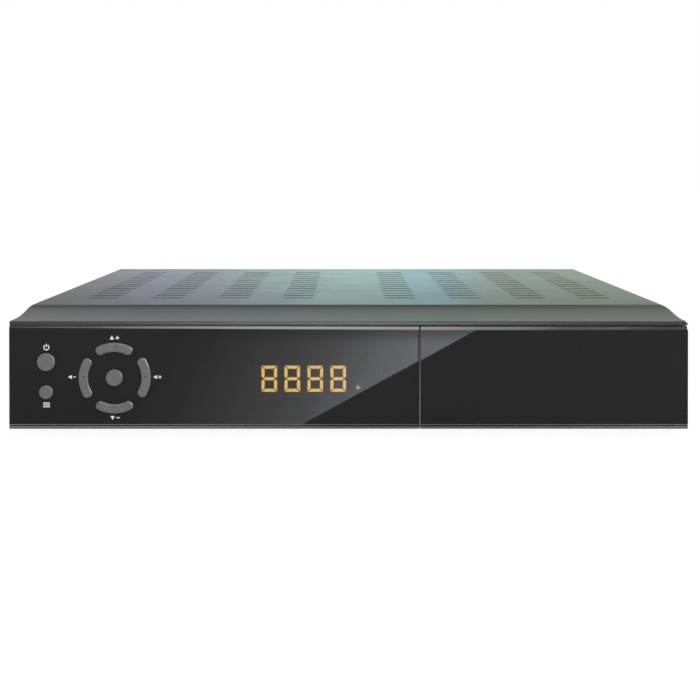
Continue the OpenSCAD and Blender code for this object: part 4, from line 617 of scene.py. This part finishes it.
# the keys' outlines, which the panel's holes follow: middle and radius of the round ones, and for each
# sector of the ring which way it lies, half its angle and how far it is set aside and up
round_keys = {"standby": (-133.8, 33.75, 4.0), "menu": (-133.95, 20.35, 3.08), "ok": (-103.7, 26.75, 3.72)}
ring_keys = {"channel_up": (90, 35.0, 0.0, 0.0), "channel_down": (-90, 35.0, 0.0, 0.0),
             "volume_down": (180, 37.8, 0.0, 0.0), "volume_up": (0, 37.8, 0.4, 0.3)}
key_names, key_gap = [*round_keys, *ring_keys], 0.2
ring_at, ring_outer, ring_inner, corner_round = (-103.7, 26.6), 15.8, 11.6, 1.85
corner_steps, arc_steps = 6, 20


def round_outline(x, z, radius, grow=0.0, count=64):
    return [(x + (radius + grow) * math.cos(2 * math.pi * k / count),
             z + (radius + grow) * math.sin(2 * math.pi * k / count)) for k in range(count)]


def ring_outline(middle, half, aside, raised, grow):
    """One key of the ring: a sector with rounded corners, grown by a clearance."""
    far, near = ring_outer - corner_round, ring_inner + corner_round
    far_turn = half - math.degrees(math.asin(corner_round / far))
    near_turn = half - math.degrees(math.asin(corner_round / near))
    r = corner_round + grow
    outline = []

    def around(centre_r, centre_a, start, end):
        cx, cz = centre_r * math.cos(math.radians(centre_a)), centre_r * math.sin(math.radians(centre_a))
        for k in range(corner_steps + 1):
            a = math.radians(start + (end - start) * k / corner_steps)
            outline.append((cx + r * math.cos(a), cz + r * math.sin(a)))

    for k in range(1, arc_steps):
        a = math.radians(-far_turn + 2 * far_turn * k / arc_steps)
        outline.append(((ring_outer + grow) * math.cos(a), (ring_outer + grow) * math.sin(a)))
    around(far, far_turn, far_turn, half + 90)
    around(near, near_turn, half + 90, near_turn + 180)
    for k in range(1, arc_steps):
        a = math.radians(near_turn - 2 * near_turn * k / arc_steps)
        outline.append(((ring_inner - grow) * math.cos(a), (ring_inner - grow) * math.sin(a)))
    around(near, -near_turn, -near_turn - 180, -half - 90)
    around(far, -far_turn, -half - 90, -far_turn)
    c, s = math.cos(math.radians(middle)), math.sin(math.radians(middle))
    return [(ring_at[0] + aside + u * c - v * s, ring_at[1] + raised + u * s + v * c)
            for u, v in outline]


def key_outline(name, grow):
    if name in round_keys:
        return round_outline(*round_keys[name], grow)
    return ring_outline(*ring_keys[name], grow)


panel_thick, panel_left, panel_right = 3.0, -150.08, 30.85
outer_lean, outer_round, gap_round = 0.50, 0.45, 0.2
web_left, web_right, web_deep, web_top = panel_right - 0.1, 31.1, 1.0, 49.4
web = [at(x, y, z) for z in (panel_z0, web_top)
       for x, y in ((web_left, panel_thick - web_deep), (web_right, panel_thick - web_deep),
                    (web_right, panel_thick), (web_left, panel_thick))]
front_panel = outward(from_faces("glossy_front_panel", *gather([
    glossy_bar(panel_thick, (panel_left, outer_lean, outer_round, 50.02, 0.95),
               (panel_right, 0.0, gap_round, 49.5, 1.28)),
    stack([web[:4], web[4:]])])))
holes = from_faces("key_holes", *gather([
    stack([[at(x, y, z) for x, z in key_outline(name, key_gap)] for y in (-2.0, panel_thick + 2.0)])
    for name in key_names]))
punch(front_panel, holes)
smooth(front_panel)

acrylic, t = new_finish("gloss_black")
parts = xyz(t)


def within(tree, value, low, high):
    soft = 0.00001
    return sums(tree, "MULTIPLY", ramp(tree, value, low - soft, low + soft),
                ramp(tree, value, high - soft, high + soft, 1.0, 0.0))


window_wide, window_tall = (-0.0420, 0.0060), (0.0173, 0.0350)
eye_wide, eye_tall = (0.0128, 0.0192), (0.0219, 0.0303)
clear_window = sums(t, "MULTIPLY", within(t, parts[0], *window_wide), within(t, parts[2], *window_tall))
eye = sums(t, "MULTIPLY", within(t, parts[0], *eye_wide), within(t, parts[2], *eye_tall))
clear = sums(t, "MAXIMUM", clear_window, eye)
rail = sums(t, "MAXIMUM", within(t, parts[2], 0.0, rail_z1 * mm),
            within(t, parts[2], groove_z1 * mm, line_z1 * mm))
rail_grey = mix(t, mottled(t, 800.0), (0.145, 0.147, 0.145), (0.170, 0.172, 0.170))

# painted reflection and shade: the rail's upper lip and the line above its groove are painted darker
# towards the middle of the front, as they mirror the studio there, and the rail below its lip is painted
# evenly darker
dark_at, dark_reach, lip, line_foot = 0.038, (0.02, 0.125), (0.0046, 0.0049), (0.0053, 0.0055)
from_middle = sums(t, "ABSOLUTE", sums(t, "SUBTRACT", parts[0], dark_at))
rail_painted_reflection_and_shade = mix(t, ramp(t, parts[2], *lip), grey(0.76), ramp(t, from_middle, *dark_reach, 0.36, 1.0))
rail_painted_reflection_and_shade = mix(t, ramp(t, parts[2], *line_foot), rail_painted_reflection_and_shade,
                ramp(t, from_middle, *dark_reach, 0.60, 0.95))
rail_grey = mix(t, 1.0, rail_grey, rail_painted_reflection_and_shade, "MULTIPLY")
black = mix(t, mottled(t, 30.0, detail=2.0), grey(0.0200), grey(0.0214))
body_colour = mix(t, clear, mix(t, rail, black, rail_grey), (0.061, 0.060, 0.059))
hairlines = ramp(t, noise(t, 90.0, 5.0, stretch=(1, 1, 14)), 0.62, 0.72)
surface(t, base_color=body_colour,
        roughness=sums(t, "ADD", ramp(t, rail, 0.0, 1.0, 0.008, 0.36),
                       sums(t, "MULTIPLY", hairlines, 0.006)),
        transmission_weight=sums(t, "MULTIPLY", clear, 0.655), ior=1.5)


# a metal finish with a rubbed grain, used for the painted highlights on the panels' edges
def painted_highlight_metal(name, dark, light):
    made, t = new_finish(name)
    rubbed = noise(t, 60.0, 4.0, stretch=(1, 8, 8))
    tones = [(level, level, level * 0.97) for level in (dark, light)]
    surface(t, base_color=mix(t, ramp(t, rubbed, 0.3, 0.7), *tones),
            metallic=1.0, roughness=ramp(t, rubbed, 0.3, 0.7, 0.16, 0.22))
    return made


# painted highlight: a metal finish, lighter than the black acrylic, stands for the highlight along the
# panels' rounded upper edges
edge_highlight = painted_highlight_metal("painted_edge_highlight", 0.34, 0.39)
# painted highlight: a brighter copy of it, for the light line on the flap's left end
flap_edge_highlight = painted_highlight_metal("painted_flap_edge_highlight", 0.78, 0.86)
highlight_z, highlight_deep, end_deep = 48.0, edge_deep + 0.3, 1


def paint_edge_highlights(piece, left_end=None):
    """Gives the sloping upper edge, and the left end up to left_end, a painted highlight of lighter metal.
    """
    for finish in (acrylic, edge_highlight, flap_edge_highlight):
        piece.data.materials.append(finish)
    for face in piece.data.polygons:
        x, y, z = face.center.x / mm, face.center.y / mm - front_y / mm, face.center.z / mm
        on_top = z > highlight_z and y < highlight_deep and face.normal.z > 0.2 and abs(face.normal.x) < 0.3
        on_end = left_end is not None and x < left_end and y < end_deep and face.normal.x < -0.3
        face.material_index = 2 if on_end else 1 if on_top else 0


paint_edge_highlights(front_panel)
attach(front_panel, "case")
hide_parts("display_panel")

# ---- flap ----
# The right part of the front, of the same black acrylic, with the painted highlight on its upper edge and
# a brighter painted highlight on its left end. It folds down on two knuckles moulded to its back, which
# turn on pins in the frame. A thin rib beside them covers the gap under the bay when it is open.
flap_left, flap_right, flap_thick, flap_round = 31.12, 149.92, 2.7, 0.75
hinge_y, hinge_z, knuckle_r, knuckle_wide, knuckle_places = 5.0, 7.5, 2.0, 3.0, (37.7, 141.0)
root_y = flap_thick - 0.3
knuckle = [(root_y, hinge_z - knuckle_r)]
knuckle += [(hinge_y + knuckle_r * math.sin(math.radians(a)),
             hinge_z - knuckle_r * math.cos(math.radians(a))) for a in range(0, 181, 12)]
knuckle += [(root_y, hinge_z + knuckle_r)]
on_back = [stack([[at(x, y, z) for y, z in knuckle] for x in (knuckle_x, knuckle_x + knuckle_wide)])
           for knuckle_x in knuckle_places]
rib_deep, rib_z0, rib_z1, rib_runs = 6.3, 5.4, 6.1, ((31.7, 37.8), (44.5, 137.2), (143.9, 147.8))
rib = [(root_y, rib_z0), (rib_deep, rib_z0), (rib_deep, rib_z1), (root_y, rib_z1)]
on_back += [stack([[at(x, y, z) for y, z in rib] for x in rib_ends]) for rib_ends in rib_runs]
flap = outward(from_faces("glossy_flap", *gather([glossy_bar(
    flap_thick, (flap_left, 0.0, flap_round, 49.48, 1.36),
    (flap_right, outer_lean, outer_round, 49.53, 1.38))] + on_back)))
smooth(flap)
paint_edge_highlights(flap, flap_left + flap_round)
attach(flap, "flap")
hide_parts("card_door")

# ---- keys ----
# Seven caps moulded in grey plastic with a soft edge and a fine spun grain round their own middle. Each
# has a flange behind the panel and a stem on its switch, and slides straight in. The four of the ring
# carry a small raised pip each, for the fingertip.
key_out, ring_edge, round_edge = 0.74, (0.85, 0.62), (0.6, 0.45)
flange_y0, flange_y1, stem_y1, flange_wide, stem_r = 5.5, 6.3, 7.3, 0.9, 1.6
arc_middle = (ring_outer + ring_inner) / 2


def key_finish(name, x, z):
    made, t = new_finish(name)
    middle = shade(t, "VectorMath", {0: place(t), 1: at(x, 0, z)}, operation="SUBTRACT").outputs[0]
    flat = shade(t, "VectorMath", {0: middle, 1: (1.0, 0.0, 1.0)}, operation="MULTIPLY").outputs[0]
    spoke = shade(t, "VectorMath", {0: flat}, operation="NORMALIZE").outputs[0]
    reach = shade(t, "VectorMath", {0: flat}, operation="LENGTH").outputs["Value"]
    spun = shade(t, "TexNoise", {"Vector": spoke, "Scale": 55.0, "Detail": 3.0}).outputs["Fac"]
    rings_grain = shade(t, "TexNoise", {"Scale": 4200.0, "W": reach, "Detail": 2.0},
                        noise_dimensions="1D").outputs["Fac"]
    grain = sums(t, "ADD", sums(t, "MULTIPLY", spun, 0.4), sums(t, "MULTIPLY", rings_grain, 0.6))
    surface(t, base_color=mix(t, ramp(t, grain, 0.36, 0.64), (0.160, 0.155, 0.151), (0.235, 0.229, 0.224)),
            metallic=0.35, roughness=ramp(t, grain, 0.3, 0.7, 0.32, 0.42),
            normal=bumps(t, grain, 0.3, 0.00006))
    return made


pip_shift = {"channel_up": (1.0, 0.4), "channel_down": (0.2, 0.9), "volume_down": (0.4, 0.8),
             "volume_up": (0.2, 0.8)}
pip_r, pip_out, pip_sunk = 0.45, 0.79, 0.2
pip_levels = ((pip_r * 0.6, -pip_out), (pip_r * 0.9, -pip_out + 0.03), (pip_r, -key_out + pip_sunk))
pip_plastic = moulded("pip_plastic", grey(0.045), grey(0.06), 0.5)
for name in key_names:
    soft, high = round_edge if name in round_keys else ring_edge
    edge = [(soft * (1 - math.sin(math.radians(a))), -key_out + high * (1 - math.cos(math.radians(a))))
            for a in (0, 12, 24, 36, 48, 60, 75, 90)]
    rings = [[at(x, y, z) for x, z in key_outline(name, -inset)] for inset, y in edge]
    rings += [[at(x, flange_y0, z) for x, z in key_outline(name, 0)]]
    flange = [[at(x, y, z) for x, z in key_outline(name, flange_wide)] for y in (flange_y0, flange_y1)]
    grain_middle = round_keys[name][:2] if name in round_keys else ring_at
    x, z = grain_middle
    if name in ring_keys:
        turn = math.radians(ring_keys[name][0])
        x, z = x + arc_middle * math.cos(turn), z + arc_middle * math.sin(turn)
    stem = [[at(u, y, v) for u, v in round_outline(x, z, stem_r, count=24)]
            for y in (flange_y1, stem_y1)]
    cap = outward(from_faces(name + "_cap", *gather([stack(rings), stack(flange), stack(stem)])))
    smooth(cap)
    cap.data.materials.append(key_finish("key_grey_" + name, *grain_middle))
    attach(cap, name + "_key")
    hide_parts(name + "_button")
    if name in ring_keys:
        x, z = x + pip_shift[name][0], z + pip_shift[name][1]
        pip = outward(from_faces(name + "_pip", *stack(
            [[at(u, y, v) for u, v in round_outline(x, z, r, count=20)] for r, y in pip_levels])))
        smooth(pip)
        pip.data.materials.append(pip_plastic)
        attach(pip, name + "_key")

# ---- printed marks ----
# Plain white signs printed beside the keys: the standby sign, three lines for the menu, arrows with
# plus and minus for the channels, and a small loudspeaker with plus and minus for the sound.
ink_out, ink_in = 0.03, 0.05


def ink(outlines):
    return gather([stack([[at(x, y, z) for x, z in outline] for y in (-ink_out, ink_in)])
                   for outline in outlines])


def block(x, z, wide, tall):
    return [(x - wide / 2, z - tall / 2), (x + wide / 2, z - tall / 2), (x + wide / 2, z + tall / 2),
            (x - wide / 2, z + tall / 2)]


def plus(x, z, size, line, minus=False):
    shapes = [block(x, z, size, line)]
    if not minus:
        half = (size - line) / 4 + line / 2
        arm = (size - line) / 2
        shapes += [block(x, z + half, line, arm), block(x, z - half, line, arm)]
    return shapes


def arrow(x, z, size, way):
    return [(x - size / 2, z - way * size * 0.42), (x + size / 2, z - way * size * 0.42),
            (x, z + way * size * 0.46)][::way]


def broken_ring(x, z, outer, inner, gap, count=40):
    """Quads round a ring that is open at the top."""
    quads = []
    turns = [math.radians(90 + gap + (360 - 2 * gap) * k / count) for k in range(count + 1)]
    for a, b in zip(turns, turns[1:]):
        quads.append([(x + r * math.cos(c), z + r * math.sin(c))
                      for r, c in ((inner, a), (outer, a), (outer, b), (inner, b))])
    return quads


def loudspeaker(x, z, size):
    return [block(x - size * 0.32, z, size * 0.3, size * 0.42),
            [(x - size * 0.12, z - size * 0.21), (x + size * 0.3, z - size * 0.5),
             (x + size * 0.3, z + size * 0.5), (x - size * 0.12, z + size * 0.21)]]


standby_x, arrow_x, plus_x, volume_z, mark_line, thin_line = -133.6, -104.6, -102.2, 27.1, 0.42, 0.36
signs = {
    "standby_sign": [*broken_ring(standby_x, 40.3, 1.35, 0.95, 32),
                     block(standby_x, 41.15, mark_line, 1.5)],
    "menu_sign": [block(-133.8, 14.7 + k * 0.85, 3.0, mark_line) for k in (-1, 0, 1)],
    "channel_up_sign": [arrow(arrow_x, 44.6, 2.0, 1)] + plus(plus_x, 44.5, 1.6, mark_line),
    "channel_down_sign": [arrow(arrow_x, 8.9, 2.0, -1)] + plus(plus_x, 9.0, 1.6, mark_line, True),
    "volume_down_sign": loudspeaker(-123.0, volume_z, 1.9) + plus(-121.3, volume_z, 1.2, thin_line, True),
    "volume_up_sign": loudspeaker(-85.3, volume_z, 1.9) + plus(-83.5, volume_z, 1.4, thin_line),
}
white_ink, t = new_finish("white_ink")
surface(t, base_color=mix(t, ramp(t, noise(t, 3000.0, 4.0), 0.35, 0.7), grey(0.80), grey(0.62)),
        roughness=mottled(t, 1500.0, 0.40, 0.55))
for name, outlines in signs.items():
    sign = outward(from_faces(name, *ink(outlines)))
    sign.data.materials.append(white_ink)
    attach(sign, "case")

# ---- top cover ----
# Steel sheet pressed in one piece: a flat top with rows of slots, an S-shaped sweep down to a plain
# band, and two side walls with upright slots. It is sprayed in a satin metallic dark grey.
half_wide, cover_deep, cover_thick = 150.0, 214.0, 0.8
band_z0, band_z1, crown_rise = 50.05, 51.9, 5.8
crown_front, crown_sides = 14.0, (6.8, 8.45)
right_lean, right_step, lean_z = 0.06, 0.155, 50.7
sweep_bends = {"left": (0.70, 0.56), "front": (0.50, 0.86), "right": (0.448, 0.385), "up": (0.22, 0.77)}
band_round, corner, least_corner, foot_flare, flare_high = 0.35, 0.9, 0.15, 0.1, 0.12
sweep_from, sweep_steps, band_steps, corner_turns = 0.06, 28, 6, 6


def sweep_point(t):
    """How far in from the left, the front and the right the sweep is, and how high, as shares."""
    return [3 * (1 - t) ** 2 * t * b + 3 * (1 - t) * t * t * c + t ** 3 for b, c in sweep_bends.values()]


def crown_ring(shares, extra, z, back, shrink):
    """One level of the crown: square at the back, with small round corners at the front."""
    left = half_wide - shrink - shares[0] * crown_sides[0] - extra
    front = shrink + shares[1] * crown_front + extra
    right = half_wide - shrink - shares[2] * crown_sides[1] - extra
    r = max(corner - shrink, least_corner)
    ring_points = [at(-left, back, z)]
    for middle_x, start_turn in ((-left + r, 180), (right - r, 270)):
        for k in range(corner_turns + 1):
            a = math.radians(start_turn + 90 * k / corner_turns)
            ring_points.append(at(middle_x + r * math.cos(a), front + r + r * math.sin(a), z))
    return ring_points + [at(right, back, z)]


def crown_rings(shrink, back):
    """The crown's levels: the band, which leans in on the right, its rounded top, and the sweep."""
    upright = (0.0, 0.0, 0.0)
    rings = [crown_ring(upright, foot_flare if shrink == 0 else 0, band_z0, back, shrink)]
    if shrink == 0:
        rings.append(crown_ring(upright, 0, band_z0 + flare_high, back, shrink))
        rings.append(crown_ring(upright, 0, lean_z, back, shrink))
    for k in range(1, band_steps):
        a = math.radians(90 * k / band_steps)
        right = right_lean + (right_step - right_lean) * (1 - math.cos(a))
        rings.append(crown_ring((0.0, 0.0, right), band_round * (1 - math.cos(a)),
                                band_z1 - band_round + band_round * math.sin(a) - shrink, back, shrink))
    for k in range(1, sweep_steps + 1):
        left, front, right, up = sweep_point(sweep_from + (1 - sweep_from) * k / sweep_steps)
        shares = (left, front, right_step + (1 - right_step) * right)
        rings.append(crown_ring(shares, 0, band_z1 - shrink + up * crown_rise, back, shrink))
    return rings


outer = crown_rings(0, cover_deep)
inner = crown_rings(cover_thick, cover_deep - cover_thick)
points, faces = stack(outer, closed=False)
count = len(outer[0])
faces.append(tuple(range(len(points) - count, len(points))))
inner_points, inner_faces = stack(inner, closed=False)
start = len(points)
faces += [tuple(reversed([i + start for i in face])) for face in inner_faces]
points += inner_points
faces.append(tuple(reversed(range(len(points) - count, len(points)))))
faces += [(k, start + k, start + (k + 1) % count, (k + 1) % count) for k in range(count)]
crown = outward(from_faces("crown", points, faces))


def slot_outline(u, v, long, wide, along_u=True, end_steps=8):
    """A slot with round ends about (u, v)."""
    r, straight = wide / 2, (long - wide) / 2
    outline = []
    for side, start_turn in ((1, -90), (-1, 90)):
        for k in range(end_steps + 1):
            a = math.radians(start_turn + 180 * k / end_steps)
            outline.append((side * straight + r * math.cos(a), r * math.sin(a)))
    return [(u + p, v + q) if along_u else (u - q, v + p) for p, q in outline]


vent_long, vent_wide, vent_inner, vent_pitch, vent_columns = 15.4, 2.6, {-1: 16.4, 1: 16.9}, 31.15, 4
vent_rows = [42.5 + 10.9 * row + 0.1 * row ** 2 for row in range(13)]
top_z = band_z1 + crown_rise
slots = []
for vent_y in vent_rows:
    for column in range(vent_columns):
        for side in (-1, 1):
            vent_x = side * (vent_inner[side] + vent_long / 2 + vent_pitch * column)
            slots.append(slot_outline(vent_x, vent_y, vent_long, vent_wide))
vents = from_faces("vents", *gather([
    stack([[at(x, y, z) for x, y in outline] for z in (top_z - 3, top_z + 2)]) for outline in slots]))
punch(crown, vents)

side_x, side_y0, side_z0, side_z1 = 149.5, 16.4, 4.5, band_z1 - cover_thick
upright_long, upright_wide, upright_z = 18, 2.6, 31
upright_y0, upright_pitch, upright_count = 62, 9, 12
screw_places, screw_z, screw_hole_r = (48, 184), 12.4, 1.55
plate = [(side_y0, side_z0), (cover_deep, side_z0), (cover_deep, side_z1), (side_y0, side_z1)]
plates = [stack([[at(x, y, z) for y, z in plate] for x in (side * (side_x - cover_thick), side * side_x)])
          for side in (-1, 1)]
side_walls = outward(from_faces("cover_sides", *gather(plates)))
side_cuts = [slot_outline(upright_y0 + upright_pitch * k, upright_z, upright_long, upright_wide,
                          along_u=False) for k in range(upright_count)]
side_cuts += [round_outline(y, screw_z, screw_hole_r, count=24) for y in screw_places]
punch(side_walls, from_faces("side_cuts", *gather([
    stack([[at(x, y, z) for y, z in outline] for x in (-half_wide - 10, half_wide + 10)])
    for outline in side_cuts])))

joined = bmesh.new()
joined.from_mesh(crown.data)
joined.from_mesh(side_walls.data)
cover = bpy.data.objects.new("painted_top_cover", bpy.data.meshes.new("painted_top_cover"))
bpy.context.scene.collection.objects.link(cover)
joined.to_mesh(cover.data)
joined.free()
bpy.data.objects.remove(crown)
bpy.data.objects.remove(side_walls)
smooth(cover, 30)

paint, t = new_finish("cover_paint")
flakes = shade(t, "SeparateColor", {0: shade(
    t, "TexVoronoi", {"Vector": place(t), "Scale": 5200.0}).outputs["Color"]}).outputs[0]
cloud = noise(t, 18.0, 3.0)
paint_colour = mix(t, ramp(t, flakes, 0.0, 1.0), (0.140, 0.146, 0.142), (0.180, 0.186, 0.181))
paint_colour = mix(t, ramp(t, cloud, 0.3, 0.7, 0.0, 0.25), paint_colour, (0.135, 0.14, 0.136))
surface(t, base_color=paint_colour, metallic=0.8, coat_weight=0.3, coat_roughness=0.06,
        roughness=mottled(t, 35.0, 0.21, 0.25, detail=4.0),
        normal=bumps(t, noise(t, 2600.0, 2.0), 0.03, 0.00002))
cover.data.materials.append(paint)
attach(cover, "case")
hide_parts("top_cover")

# ---- cover screws ----
# Seven self-tapping screws with a black oxide coat hold the cover: two in each side and three behind.
black_screw, t = new_finish("black_screw")
oxide = noise(t, 900.0, 4.0)
surface(t, base_color=mix(t, ramp(t, oxide, 0.4, 0.75), (0.035, 0.035, 0.037), (0.12, 0.12, 0.12)),
        metallic=0.8, roughness=ramp(t, oxide, 0.3, 0.7, 0.34, 0.5), normal=bumps(t, oxide, 0.15, 0.00005))
dress(black_screw, "cover_side_screws", "cover_rear_screws")
